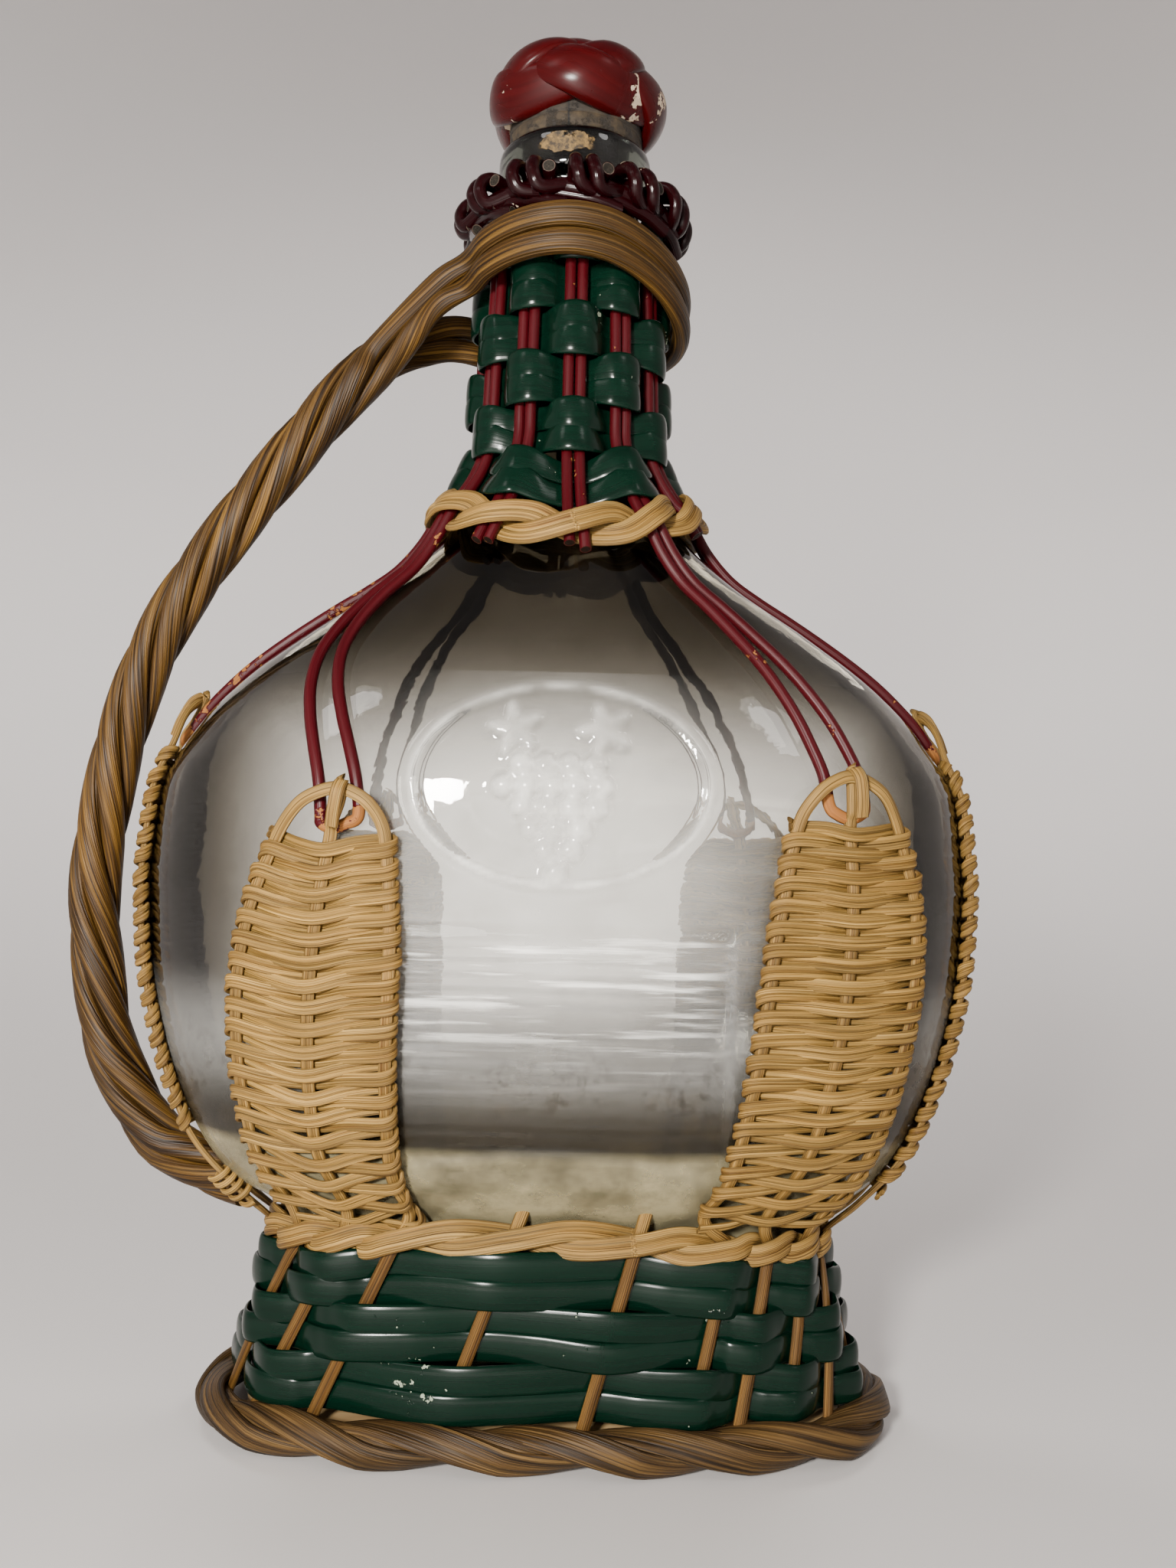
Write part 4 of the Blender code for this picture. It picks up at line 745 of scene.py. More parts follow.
# The middle stake's tip folds over the arch: across, up from the arch's top, and off the glass
FOLD_ACROSS = np.array([0.1, 0.5, 0.8, 0.9, 0.9, 0.9]) * MM
FOLD_RISE = np.array([-6.0, -2.4, 1.3, -0.4, -4.0, -7.0]) * MM
FOLD_OFF = np.array([3.1, 3.1, 4.4, 6.0, 5.6, 4.7]) * MM
for name, (_, top, _, crossings) in PETALS.items():
    top = top * MM
    z = np.r_[48.0 * MM, [PETAL_FOOT + way * (top - PETAL_FOOT) for way, _ in FRAME_SHARES[1:]]]
    left_leg, right_leg = (
        petal_point(name, side * petal_half(name, z), z, stake_off(name, z)) for side in (-1, 1))
    crown = petal_point(name, [0.0], [top], stake_off(name, top))
    frame_path = np.vstack([
        skirt_point(crossings[0], WAIST_WAYS), left_leg, crown, right_leg[::-1],
        skirt_point(crossings[2], WAIST_WAYS)[::-1]])
    frame_cane = add_canes("bent_frame_" + name, [darker_foot(through(frame_path, 8))], pale_look,
                           width=2.5 * MM, thick=1.35 * MM)
    middle = petal_point(name, 0.0, np.linspace(48.0 * MM, top - 9 * MM, 7), STAKE_OFF)
    tip = petal_point(name, FOLD_ACROSS, top + FOLD_RISE, FOLD_OFF)
    stake_path = through(np.vstack([skirt_point(crossings[1], WAIST_WAYS), middle, tip]), 8)
    near_tip = np.arange(len(stake_path)) > len(stake_path) - 24
    falling = near_tip & (np.gradient(stake_path[:, 2]) < 0)
    stake_path[falling, 3:6] *= -1
    stake_cane = add_canes("middle_stake_" + name, [darker_foot(stake_path)], pale_look,
                           width=2.6 * MM, thick=1.35 * MM)
    for piece, node in ((frame_cane, "petal_frame_"), (stake_cane, "petal_stake_")):
        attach(piece, "vessel")
        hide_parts(node + name)

for number, share in enumerate(SHORT_STAKES):
    path = through(skirt_point(share, np.r_[WAIST_WAYS, 1.25]), 8)
    stub = add_canes(f"short_stake_{number + 1}", [darker_foot(path)], pale_look,
                     width=2.6 * MM, thick=1.5 * MM)
    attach(stub, "vessel")
    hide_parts(f"stub_stake_{number + 1}")


# Foot strips. Three rows of two glossy green plastic-coated strips each go round the foot, out past one stake
# and in past the next, with the rows in turn about.
def paint_group():
    """Where paint has chipped off, more for a larger amount, and a wider mask for the chips' edges."""
    group = new_group("chipped_paint", ("Chips", "Edge"), ("Amount",))
    amount = put(group, "NodeGroupInput").outputs["Amount"]
    place = own_place(group)
    wear = product(group, noise(group, place, 55.0), noise(group, place, 420.0, 3.0, 0.65))
    start = reckon(group, "SUBTRACT", 0.46, amount)
    early, end = reckon(group, "SUBTRACT", start, 0.02), reckon(group, "ADD", start, 0.012)
    put(group, "NodeGroupOutput", {0: ranged(group, wear, start, end), 1: ranged(group, wear, early, end)})
    return group


PAINT = paint_group()


def between(tree, way, first, last):
    """A number part of the way from the first to the last."""
    return put(tree, "ShaderNodeMix", {0: way, 2: first, 3: last}).outputs[0]


def painted_material(name, colour, bare, chips, gloss, ribs=0.25):
    """Glossy paint over cane: thicker and thinner along it, with chips down to the bare cane."""
    look, tree, shader = new_material(name)
    fibre = put(tree, "ShaderNodeGroup", node_tree=FIBRE).outputs
    bareness = attribute(tree, "bare")
    amount = reckon(tree, "MULTIPLY_ADD", bareness, 0.25, chips)
    wear = put(tree, "ShaderNodeGroup", {"Amount": amount}, node_tree=PAINT).outputs
    worn = reckon(tree, "MAXIMUM", wear["Chips"], fibre["Cut"])
    wood = reckon_vector(tree, "SCALE", bare, ranged(tree, fibre["Streak"], 0.3, 0.7, 0.5, 1.3))
    pores = ranged(tree, fibre["Ribs"], 0.42, 0.50, 0.003, 0.05)
    wood = reckon_vector(tree, "SCALE", wood, between(tree, fibre["Cut"], 1.0, pores))
    coat = reckon_vector(tree, "SCALE", colour, ranged(tree, fibre["Streak"], 0.3, 0.7, 0.75, 1.3))
    matt = ranged(tree, fibre["Blotch"], 0.0, 1.0, gloss - 0.06, gloss + 0.12)
    ribbed = bumped(tree, fibre["Ribs"], ribs, 0.0004)
    fill(tree, shader, {
        "Base Color": mixed(tree, worn, coat, wood), "Roughness": between(tree, worn, matt, 0.7),
        "Specular IOR Level": 0.17, "Normal": bumped(tree, wear["Edge"], 0.6, 0.00025, ribbed, invert=True)})
    return look


green_look = painted_material(
    "green_strip", (0.0008, 0.0088, 0.0046), bare=(0.26, 0.30, 0.22), chips=0.03, gloss=0.17, ribs=0.05)
stakes = np.sort(np.r_[[share for row in PETALS.values() for share in row[3]], SHORT_STAKES] % 1.0)
random = np.random.default_rng(7)
SKIRT_ROWS, SKIRT_WOVEN, STRIP_SWING = 3, 0.96, 1.75 * MM
for row in range(SKIRT_ROWS):
    bottom, top = (SKIRT_WOVEN * level / SKIRT_ROWS for level in (row, row + 1))
    strands = []
    for upper in (0, 1):
        rows = []
        for i, share in enumerate(stakes):
            after = stakes[(i + 1) % len(stakes)] + (i + 1 == len(stakes))
            level = bottom + (top - bottom) * (0.25 + 0.5 * upper)
            out = STRIP_SWING if (i + row) % 2 else -STRIP_SWING
            halfway_out = random.uniform(-0.1, 0.5) * MM
            for place, way_out in ((share, out), (share + (after - share) / 2, halfway_out)):
                rows.append(np.r_[skirt_point(place, level + random.normal(0, 0.007), way_out), 1.0])
        strands.append(through(rows, 10, closed=True))
    strip = add_canes(f"green_strips_{row + 1}", strands, green_look, width=5.9 * MM, thick=1.6 * MM,
                      closed=True, squareness=2.2, sides=20)
    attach(strip, "vessel")
    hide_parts(f"foot_strip_{row + 1}")


# Foot border. The stakes' ends turn down and run under and over one another as a rolled border, which the
# carafe stands on and which grips the board.
def rolled(ring, height, start, run, first, last, reach):
    """A cane's path round the section of a border, from one angle to another, as it runs along the ring."""
    way = np.linspace(0, 1, 34)
    angle = first + (last - first) * smooth_step(0.0, 1.0, way) * 0.6 + (last - first) * way * 0.4
    share = start + run * way
    out = outward(ring.size, ring.turn(share))
    facing = out * np.cos(angle)[:, None] + np.array([0, 0, 1]) * np.sin(angle)[:, None]
    lift = np.interp(way, [0, 0.25, 0.7, 1], reach)
    return np.hstack([ring_place(ring, share, height) + facing * lift[:, None], facing])


border_look = cane_material(
    "brown_cane", ((0.012, 0.0055, 0.0015), (0.050, 0.026, 0.0075), (0.14, 0.080, 0.025)))
border_ring = Ring(66.0 * MM, 28.2 * MM)
BORDER_STROKES, BORDER_HEIGHT, BORDER_REACH = 14, 4.5 * MM, np.array([0.4, 2.5, 3.9, 1.6])
strokes = []
for k in range(BORDER_STROKES):
    run = random.uniform(50, 60) * MM / border_ring.length
    start = k / BORDER_STROKES + random.normal(0, 0.006)
    for girth, behind, shift in ((1.0, 0.0, 0.0), (0.6, 0.62, 0.010)):
        reach = (BORDER_REACH - behind + random.normal(0, 0.15)) * MM
        path = rolled(border_ring, BORDER_HEIGHT, start + shift, run, 2.2 + behind, -1.05 + behind, reach)
        taper = np.interp(np.linspace(0, 1, len(path)), [0, 0.12, 0.85, 1], [0.6, 1, 1, 0.7])
        strokes.append(np.hstack([path, girth * taper[:, None]]))
border = add_canes("rolled_border", strokes, border_look, width=5.7 * MM, thick=2.5 * MM, sides=16)
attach(border, "vessel")
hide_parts("foot_border")


# Waist. Two pairs of pale canes are twined round all stakes where the bottle's body starts: each pair goes
# out past one stake, in past the next, and crosses the other pair between them.
def twined(shares, side, place, swing, rise):
    """Places along one of two strands twined round stakes; place takes a share, a way out and a height."""
    rows = []
    for i, share in enumerate(shares):
        sign = side if i % 2 else -side
        after = shares[i + 1] if i + 1 < len(shares) else shares[0] + 1.0
        room = min(1.0, 0.35 + (after - share) * 12)
        rows += [(share, sign * swing, 0.0), ((share + after) / 2, 0.35 * swing, sign * rise * room)]
    return place(*np.array(rows).T)


def doubled(path, spread, closed=True):
    """Two canes side by side along a path, each half the spread to its own side."""
    if closed:
        ahead = np.roll(path[:, :3], -1, 0) - np.roll(path[:, :3], 1, 0)
    else:
        ahead = np.gradient(path[:, :3], axis=0)
    aside = unit(np.cross(unit(ahead), unit(path[:, 3:6])))
    return [np.hstack([path[:, :3] + aside * spread / 2 * side, path[:, 3:]]) for side in (-1, 1)]


def on_waist(share, out, up):
    return skirt_point(share, 1.0, out, up + 1.2 * MM)


for number, side in ((1, 1), (2, -1)):
    path = twined(stakes, side, on_waist, swing=1.8 * MM, rise=1.7 * MM)
    strand = add_canes(f"twined_waist_{number}", doubled(through(path, 9, closed=True), 2.0 * MM), pale_look,
                       width=2.25 * MM, thick=1.5 * MM, closed=True, squareness=2.1)
    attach(strand, "vessel")
    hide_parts(f"waist_strand_{number}")


# Petals' weave. A doubled fine cane goes to and fro over each frame's three stakes: to one side over the legs
# and under the middle, then back under the legs and over the middle, wrapping each leg at its turn.
weave_look = cane_material("weave_cane", ((0.12, 0.052, 0.010), (0.32, 0.182, 0.042), (0.53, 0.335, 0.100)))
PITCH, WRAP, BELOW_ARCH = 3.98 * MM, 1.75 * MM, 6.9
# One pass to and fro: share of the half width across, 2 being round a leg; off the glass; part of the rise
PASS = [
    (-1, 2.95, 0.0), (-0.5, 2.1, 0.0), (0, 0.6, 0.0), (0.5, 2.1, 0.0), (1, 2.95, 0.0), (2, 1.75, 0.25),
    (1, 0.6, 0.5), (0.5, 2.0, 0.5), (0, 2.95, 0.5), (-0.5, 2.0, 0.5), (-1, 0.6, 0.5), (-2, 1.75, 0.75)]


def petal_sides(name, across, z, off):
    """Places half a millimetre to the right and to the left of a petal's places."""
    step = 0.5 * MM
    return petal_point(name, across + step, z, off)[:, :3], petal_point(name, across - step, z, off)[:, :3]


for name, (_, top, low, _) in PETALS.items():
    top, low = (top - BELOW_ARCH) * MM, (low - (0 if name == "left" else 1.2)) * MM
    cycles = int(round((top - low) / PITCH))
    rise = (top - low) / cycles
    rows = []
    sag = [share * rise for share in ((0.75, 0.4) if name == "front_left" else (0.15, 0.3))]
    for k in range(cycles):
        for across, off, part in PASS:
            z = low + (k + part) * rise
            half = float(petal_half(name, z))
            wrap = WRAP + random.normal(0, 0.12 * MM)
            if abs(across) == 2:
                place, facing, brown = math.copysign(half + wrap, across), (math.copysign(1, across), 0), 0.5
            else:
                place, facing = across * half, (0, 1 if part == 0 else -1)
                brown = 0.2 if abs(across) == 1 and off > 2 else 0.0
            side_sag = sag[0] if across < 0 else sag[1]
            lean = (1 - min(abs(across), 1.0)) * side_sag if across else sum(sag) / 2
            rows.append((place, z - lean + random.normal(0, 0.1 * MM), off * MM, *facing, brown))
    rows = through(rows, 4)
    places = petal_point(name, rows[:, 0], rows[:, 1], rows[:, 2] + (stake_off(name, rows[:, 1]) - STAKE_OFF))
    right, left = petal_sides(name, rows[:, 0], rows[:, 1], 0.0)
    facing = unit(unit(right - left) * rows[:, 3:4] + places[:, 3:] * rows[:, 4:5])
    path = np.hstack([places[:, :3], facing, np.ones((len(rows), 1)), rows[:, 5:6]])
    canes = doubled(path, 1.3 * MM, closed=False)
    if name == "left":
        z, turns = np.linspace(51.5, 46.8, 80) * MM, np.linspace(0, 4.2 * TAU, 80)
        leg = petal_point(name, petal_half(name, z), z, STAKE_OFF)
        right, _ = petal_sides(name, petal_half(name, z), z, STAKE_OFF)
        facing = leg[:, 3:] * np.cos(turns)[:, None] + unit(right - leg[:, :3]) * np.sin(turns)[:, None]
        canes.append(np.hstack([leg[:, :3] + facing * 2.0 * MM, facing]))
    weave = add_canes("woven_passes_" + name, canes, weave_look, width=1.43 * MM, thick=0.95 * MM,
                      squareness=2.2, sides=8)
    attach(weave, "vessel")
    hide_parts("petal_weave_" + name)


# Red canes. Twelve pairs of thin red-painted canes run down the neck. Six pairs are hairpins that go on over
# the shoulder, hook behind a petal's arch and hold the cover to the bottle; the others end at the ring.
NECK_RING_HEIGHT, NECK_WEAVE_FOOT, NECK_WEAVE_HEAD = 181.4 * MM, 186.4 * MM, 245.6 * MM
RED_OFF, PAIR_SPREAD, SPLAYED, RED_WIDTH = 1.5 * MM, 1.24 * MM, 3.6 * MM, 2.35 * MM
STAY_BEND, STAY_START = 175.0 * MM, 169.8 * MM
HOOK_ACROSS, HOOK_DROP = np.array([-2.3, 0.0, 2.3]) * MM, np.array([-1.6, -2.4, -1.6]) * MM
red_look = painted_material(
    "red_cane", (0.040, 0.0012, 0.0030), bare=(0.26, 0.10, 0.025), chips=0.045, gloss=0.33)


def neck_level(turn, height):
    """The neck weave's lower end is higher at the sides, where the shoulder is."""
    fade = 1 - smooth_step(0.0, 1.0, (height - NECK_RING_HEIGHT) / (NECK_WEAVE_HEAD - NECK_WEAVE_FOOT) * 2)
    return height - 3.6 * MM * np.cos(2 * turn) * fade


def neck_off(height):
    """Way of the red canes' middles off the glass: over the rear strips, and over the ring's rear canes."""
    woven, ringed, lying = 3.3 * MM, 4.2 * MM, RED_OFF
    above = ringed + (woven - ringed) * smooth_step(0.0, 1.0, (height - NECK_RING_HEIGHT) / (5 * MM))
    below = ringed + (lying - ringed) * smooth_step(0.0, 1.0, (NECK_RING_HEIGHT - height) / (11.6 * MM))
    return np.where(height >= NECK_RING_HEIGHT, above, below)


def neck_point(turn, height, out=0.0, across=0.0):
    """Places in the neck weave with the way out of the glass."""
    values = (np.asarray(value, float) for value in (turn, height, out, across))
    turn, height, out, across = np.broadcast_arrays(*values)
    z, off = neck_level(turn, height), neck_off(height)
    turn = turn + across / (sum(glass_size(z)[:2]) / 2 + off)
    return np.hstack([off_glass(turn, z, off + out), glass_out(turn, z)])


PAIRS = 12
pair_turns = math.radians(4.0) + TAU * np.arange(PAIRS) / PAIRS
PAIR_OF_PETAL = {"front_left": 10, "front_right": 1, "right": 3, "back_right": 5, "back_left": 7, "left": 9}
down = np.r_[248.5, np.arange(245, 186, -5.0), 184.0, 181.4] * MM
for name, number in PAIR_OF_PETAL.items():
    (_, top_turn), top = np.radians(PETALS[name][0]), PETALS[name][1] * MM
    turn = pair_turns[number] - TAU * round((pair_turns[number] - top_turn) / TAU)
    leave, bent, start = (float(neck_level(turn, z)) for z in (NECK_RING_HEIGHT, STAY_BEND, STAY_START))
    hook = top - 4.6 * MM
    z = np.r_[bent, np.linspace(start, hook, 9)]
    way = (leave - z) / (leave - hook)
    middle = turn + (top_turn - turn) * smooth_step(0.0, 1.0, way)
    off = np.r_[float(neck_off(STAY_BEND)), np.full(9, RED_OFF)]
    legs = []
    for side in (-1, 1):
        bow = side * (PAIR_SPREAD + (SPLAYED - PAIR_SPREAD) * smooth_step(0.1, 0.9, way))
        splayed = middle + bow / glass_girth(middle, z)
        legs.append(np.vstack([neck_point(turn, down, 0.0, side * PAIR_SPREAD),
                               np.hstack([off_glass(splayed, z, off), glass_out(splayed, z)])]))
    bend = petal_point(name, HOOK_ACROSS, hook + HOOK_DROP, 1.6 * MM)
    hairpin = through(np.vstack([legs[0], bend, legs[1][::-1]]), 8)
    bare = smooth_step(hook + 4 * MM, hook, hairpin[:, 2])
    if name == "left":
        bare = np.maximum(bare, 0.42 * smooth_step(186 * MM, 176 * MM, hairpin[:, 2]))
    hairpin = np.hstack([hairpin, np.ones((len(hairpin), 1)), bare[:, None]])
    stay = add_canes("red_hairpin_" + name, [hairpin], red_look, RED_WIDTH, RED_WIDTH, squareness=2.0)
    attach(stay, "vessel")
    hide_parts("stay_" + name)

for number in range(PAIRS):
    if number in PAIR_OF_PETAL.values():
        continue
    cuts = [(177.6 + random.uniform(-0.8, 0.5)) * MM for _ in range(2)]
    legs = [through(neck_point(pair_turns[number], np.r_[down, cut], 0.0, side * PAIR_SPREAD), 4)
            for side, cut in zip((-1, 1), cuts)]
    pair = add_canes(f"red_pair_{number + 1:02d}", legs, red_look, RED_WIDTH, RED_WIDTH, squareness=2.0)
    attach(pair, "vessel")
    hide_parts(f"neck_canes_{number + 1:02d}")


# Neck strips. Six rows of two green strips each go round the neck, over one pair of red canes and under the
# next. They bulge where they go over a pair and narrow where they dive between.
NECK_ROWS, PAIR_HALF = 6, 2.7 * MM
# Way off the red canes and girth, on a pair's middle and at its sides, for strips that go over and under
OVER, UNDER = ((2.35 * MM, 1.14), (1.75 * MM, 1.06)), ((-1.85 * MM, 0.84), (-1.85 * MM, 0.84))
for row in range(NECK_ROWS):
    pitch = (NECK_WEAVE_HEAD - NECK_WEAVE_FOOT) / NECK_ROWS
    strands = []
    for upper in (0, 1):
        rows = []
        for i, turn in enumerate(pair_turns):
            level = NECK_WEAVE_FOOT + pitch * (row + 0.27 + 0.46 * upper)
            tilt = random.normal(0, 0.15 * MM)
            for aside in (-PAIR_HALF, 0.0, PAIR_HALF):
                out, girth = (OVER if (i + row) % 2 else UNDER)[aside != 0]
                rows.append(np.r_[neck_point(turn, level + tilt, out, aside), girth])
            rows.append(np.r_[neck_point(turn + TAU / PAIRS / 2, level, 0.0, 0.0), 0.88])
        strands.append(through(rows, 6, closed=True))
    strip = add_canes(f"green_band_{row + 1}", strands, green_look, width=6.0 * MM, thick=1.35 * MM,
                      closed=True, squareness=2.5, sides=20)
    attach(strip, "vessel")
    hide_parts(f"neck_strip_{row + 1}")


# Neck ring. Pairs of flat pale canes are twined round the red ones where the neck meets the shoulder, and end
# the neck's cover as the waist ends the foot's.
def on_neck_ring(share, out, up):
    return neck_point(TAU * share, NECK_RING_HEIGHT + up, out)


for number, side in ((1, 1), (2, -1)):
    path = twined(pair_turns / TAU, side, on_neck_ring, swing=2.2 * MM, rise=2.3 * MM)
    strand = add_canes(f"twined_ring_{number}", doubled(through(path, 9, closed=True), 2.45 * MM), pale_look,
                       width=2.6 * MM, thick=1.4 * MM, closed=True, squareness=2.2)
    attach(strand, "vessel")
    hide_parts(f"neck_ring_strand_{number}")


# Top border. Under the lip the red canes' upper ends come up inside, bend over outwards and run on over their
# neighbours to the right, where each pair is cut off.
collar_look = painted_material(
    "dark_red_cane", (0.0085, 0.0005, 0.0010), bare=(0.42, 0.33, 0.24), chips=0.085, gloss=0.14)
collar_ring = Ring(19.6 * MM, 19.6 * MM, 2.0)
COLLAR_HEIGHT, UPWARD = 250.6 * MM, np.array([0, 0, 1.0])
# One cane's path over the collar: angle round its section, degrees on round the neck, and way off its middle
FOLD_ANGLE = np.radians([215, 170, 125, 85, 45, 8, -28, -45, -50, -55.0])
FOLD_TRAVEL = np.array([-3, -1.5, 0, 0.5, 1, 2, 6, 24, 46, 62])
FOLD_LIFT = np.array([1.8, 2.8, 3.8, 4.6, 5.1, 5.1, 4.3, 1.9, 3.0, 4.8]) * MM
strokes = []
for pair_turn in pair_turns:
    for side in (-1, 1):
        start = pair_turn / TAU + side * 1.35 * MM / collar_ring.length
        angle = FOLD_ANGLE + random.normal(0, 0.04)
        travel = FOLD_TRAVEL * (1 + 0.08 * side) + random.uniform(-2, 2)
        share = start + travel / 360
        out = outward(collar_ring.size, TAU * share)
        facing = out * np.cos(angle)[:, None] + UPWARD * np.sin(angle)[:, None]
        apart = UPWARD * (side * 1.3 * MM * smooth_step(8, 30, travel))[:, None]
        path = ring_place(collar_ring, share, COLLAR_HEIGHT) + (facing * FOLD_LIFT[:, None] + apart)
        strokes.append(through(np.hstack([path, facing]), 7))
for pair_turn in pair_turns:
    share = (pair_turn + math.radians(14 + random.uniform(-3, 3))) / TAU
    out = outward(collar_ring.size, np.array([TAU * share]))
    root = ring_place(collar_ring, np.array([share]), (252.0 + random.uniform(-1.2, 1.0)) * MM)
    tip = out + np.array([0.15, 0, random.uniform(-0.1, 0.35)])
    strokes.append(np.vstack([
        np.hstack([root + tip * reach * MM, UPWARD[None]]) for reach in (-2, 0.5, 4.4)]))
collar = add_canes("plaited_collar", strokes, collar_look, width=2.9 * MM, thick=2.7 * MM,
                   squareness=2.0, sides=14)
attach(collar, "vessel")
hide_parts("top_border")


# Handle. Two thick flattened canes are twisted up from the left side of the waist to the neck, pass round it
# in a slanting loop under the collar and come back down the same twist, so that it shows four strands.
handle_look = cane_material(
    "handle_cane", ((0.009, 0.0036, 0.0007), (0.049, 0.0225, 0.0038), (0.180, 0.094, 0.0180)), gloss=0.45)
# Shares of the way up to the loop, of the stand-off from the glass, and of the bow to the back
HANDLE_SHARES = [
    (0.052, 0.12, -0.9), (0.062, 0.40, -0.5), (0.078, 0.68, 0.0), (0.095, 0.85, 0.2), (0.139, 0.978, 0.6),
    (0.198, 1.06, 0.8), (0.278, 1.016, 1.0), (0.36, 1.015, 1.0), (0.439, 0.973, 0.8), (0.516, 1.114, 0.6),
    (0.587, 1.616, 0.4), (0.648, 2.309, 0.2), (0.701, 2.932, 0.0), (0.764, 3.237, 0.0), (0.844, 2.971, 0.0),
    (0.917, 2.231, 0.0), (0.970, 1.55, 0.0)]
LOOP, LOOP_FRONT, LOOP_RISE, LOOP_SPACING = 23.9 * MM, 240.0 * MM, 10.4 * MM, 2.75 * MM
STAND_OFF, BOW, TWIST_RADIUS, TWIST_PITCH = 14.7 * MM, 2.5 * MM, 3.45 * MM, 80 * MM
loop_back = LOOP_FRONT - LOOP_RISE
route = []
for up, out, bow in HANDLE_SHARES:
    z = PLINTH_TOP + up * (loop_back - PLINTH_TOP)
    route.append((-float(glass_size(z)[0]) - out * STAND_OFF, bow * BOW, z))
curve = through(route, 16)
travel = np.r_[0, np.cumsum(np.linalg.norm(np.diff(curve, axis=0), axis=1))]
steps = np.linspace(0, travel[-1], 90)
middle_line = np.stack([np.interp(steps, travel, curve[:, axis]) for axis in range(3)], -1)
tangent = unit(np.gradient(middle_line, axis=0))
front = unit(np.array([0, -1.0, 0]) - tangent * (-tangent[:, 1])[:, None])
strands = []
for side in (1, -1):
    halves = []
    for phase in (side * math.pi / 4, math.pi - side * math.pi / 4):
        angle = phase - TAU * (travel[-1] - steps) / TWIST_PITCH
        facing = front * np.cos(angle)[:, None] - np.cross(tangent, front) * np.sin(angle)[:, None]
        halves.append(np.hstack([middle_line + facing * TWIST_RADIUS, facing]))
    turns = np.radians(np.linspace(-62, 242, 20))
    rise = LOOP_RISE * ((1 + np.cos(turns)) / 2) ** np.where(turns < 0, 1.6, 3.0)
    z = loop_back + rise + side * LOOP_SPACING
    facing = np.stack([np.sin(turns), -np.cos(turns), np.zeros_like(turns)], -1)
    loop = np.hstack([facing * LOOP + np.array([0, 0, 1]) * z[:, None], facing])
    onto = np.array([[-28.8, -8.6, 231.6 + 2.5 * side, -300, -850, 350]]) * MM
    off = np.array([[-28.8, 8.6, 229.4 + 2.5 * side, -300, 900, 250]]) * MM
    turn_back = through(np.vstack([halves[0][-14:-1:3], onto, loop, off, halves[1][-2:-15:-3]]), 10)
    strands.append(np.vstack([halves[0][:-14], turn_back, halves[1][:-14][::-1]]))
for number, strand in enumerate(strands):
    cane = add_canes(f"twisted_handle_{number + 1}", [strand], handle_look,
                     width=5.2 * MM, thick=3.9 * MM, sides=16)
    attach(cane, "vessel")
    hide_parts(f"handle_cane_{number + 1}")


# Cork. A darkened cork of two layers glued together: a tapered plug in the neck and a wider head on the lip,
# cracked at the front.
CORK_DARK, CORK_MIDDLE, CORK_PALE = (0.010, 0.0065, 0.0035), (0.036, 0.025, 0.0145), (0.085, 0.060, 0.034)
UPPER_TINT, LOWER_TINT, CRACK = (0.36, 0.34, 0.29, 1), (0.68, 0.63, 0.45, 1), (0.002, 0.0015, 0.001, 1)

cork_look, tree, shader = new_material("cork")
place = own_place(tree)
sidelong, _, height = split(tree, place)
mottle = noise(tree, place, 260.0, 6.0, 0.7)
shade = ramp(tree, mottle, (0.36, CORK_DARK), (0.5, CORK_MIDDLE), (0.66, CORK_PALE))
layer = mixed(tree, ranged(tree, height, 0.26985, 0.2695), UPPER_TINT, LOWER_TINT)
wavy = reckon(tree, "MULTIPLY_ADD", mottle, 0.0012, sidelong)
crack = reckon(tree, "COMPARE", wavy, -0.0007, 0.0002)
cells = put(tree, "ShaderNodeTexVoronoi", {"Vector": place, "Scale": 620.0}).outputs["Distance"]
pitted = bumped(tree, ranged(tree, mottle, 0.36, 0.46), 0.7, 0.0004)
fill(tree, shader, {
    "Base Color": mixed(tree, crack, reckon_vector(tree, "MULTIPLY", shade, layer), CRACK), "Roughness": 0.8,
    "Normal": bumped(tree, cells, 0.25, 0.0002, pitted)})
around = np.linspace(0, TAU, 144, endpoint=False)
CORK_SEAT = 266.3
CORK_PROFILE = [
    (0.05, -24.0), (8.6, -24.0), (9.3, -23.8), (9.9, -23.2), (10.1, -20.0), (10.65, -1.0), (10.7, 0.0),
    (13.4, 0.02), (14.0, 0.2), (14.3, 0.8), (14.38, 1.6), (14.38, 2.9), (14.3, 3.15), (13.95, 3.35),
    (14.3, 3.55), (14.38, 3.9), (14.38, 5.8), (14.2, 6.4), (13.7, 6.75), (13.0, 6.8), (0.05, 6.8)]
rows = []
for radius, z in CORK_PROFILE:
    uneven = 0.12 * np.sin(7 * around + z) + 0.08 * np.sin(13 * around - 2 * z)
    reach = radius + uneven * (radius > 13)
    level = np.full_like(around, z + CORK_SEAT)
    rows.append(np.stack([reach * np.sin(around), -reach * np.cos(around), level], -1) * MM)
cork = grid_mesh("two_layer_cork", rows, cork_look, caps=("first", "last"))
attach(cork, "stopper")
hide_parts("cork")
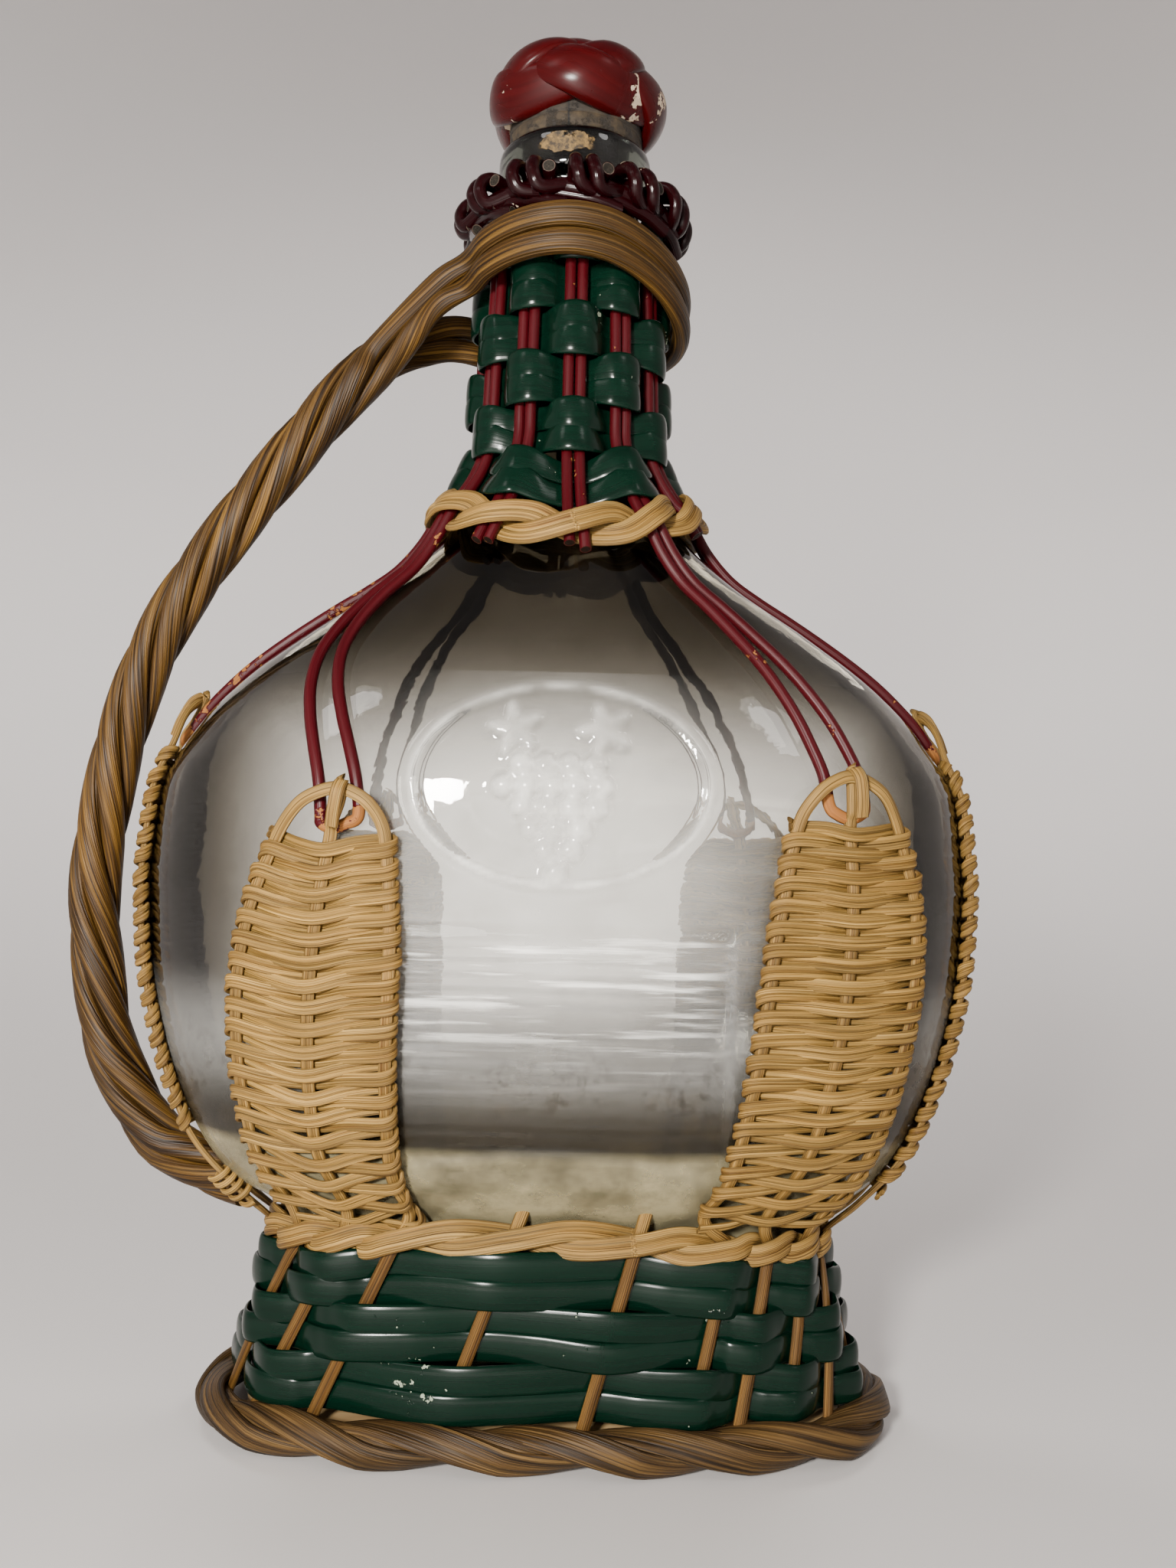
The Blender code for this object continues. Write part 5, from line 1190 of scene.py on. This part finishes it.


# Knob. One fat strand of red-painted rope-like moulding is plaited over and under itself round a ball, as a
# turk's-head knot of four leads and five bights; the ball is flat below, just over the cork's head.
knob_look = painted_material(
    "knob_red", (0.033, 0.0009, 0.0013), bare=(0.50, 0.40, 0.29), chips=0.02, gloss=0.24, ribs=0.04)
KNOB_MIDDLE, KNOB_ROUND, KNOB_HIGH, KNOB_OVER = 277.2 * MM, 16.6 * MM, 9.8 * MM, 0.7 * MM
LEADS, BIGHTS = 4, 5
CHIPPED = ((14.0, -11.5, 273.6), (17.0, -5.5, 273.2), (-16.5, -3.0, 275.0))
t = np.linspace(0, TAU * LEADS, 560, endpoint=False)
wave = BIGHTS * t / LEADS
tilt = math.radians(62) + math.radians(44) * np.cos(wave)
turn = t + math.pi / BIGHTS
over = -np.sin((LEADS - 1) * wave)
direction = np.stack([np.sin(tilt) * np.sin(turn), -np.sin(tilt) * np.cos(turn), np.cos(tilt)], -1)
spread = np.array([KNOB_ROUND, KNOB_ROUND, KNOB_HIGH])
places = direction * (spread + (KNOB_OVER * over)[:, None]) + np.array([0, 0, KNOB_MIDDLE])
girth = 1 + 0.06 * over - 0.12 * smooth_step(50, 25, np.degrees(tilt))
worn = 0
for spot in CHIPPED:
    spot = places[np.argmin(np.linalg.norm(places - np.array(spot) * MM, axis=1))]
    worn = worn + np.exp(-(np.linalg.norm(places - spot, axis=1) / (2.6 * MM)) ** 2)
knot = np.hstack([places, unit(direction / spread), girth[:, None], 0.8 * np.minimum(worn, 1)[:, None]])
braid = add_canes("braided_knob", [knot], knob_look, width=9.9 * MM, thick=4.5 * MM,
                  closed=True, squareness=2.0, sides=28)
core_rows = [(16.4 * MM * math.sin(angle), KNOB_MIDDLE + 9.6 * MM * math.cos(angle))
             for angle in np.radians(np.linspace(3, 106, 24))]
core_rows += [(14.75 * MM, 274.6 * MM), (14.6 * MM, 274.2 * MM), (6.0 * MM, 274.2 * MM)]
core = grid_mesh("knob_core", [
    [(radius * math.sin(a), -radius * math.cos(a), z) for a in around] for radius, z in core_rows], knob_look,
    caps=("first", "last"))
core.data.attributes.new("section", "FLOAT_VECTOR", "POINT").data.foreach_set(
    "vector", [1.0, 0.0, 0.0] * len(core.data.vertices))
for piece in (braid, core):
    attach(piece, "stopper")
    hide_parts("knob")
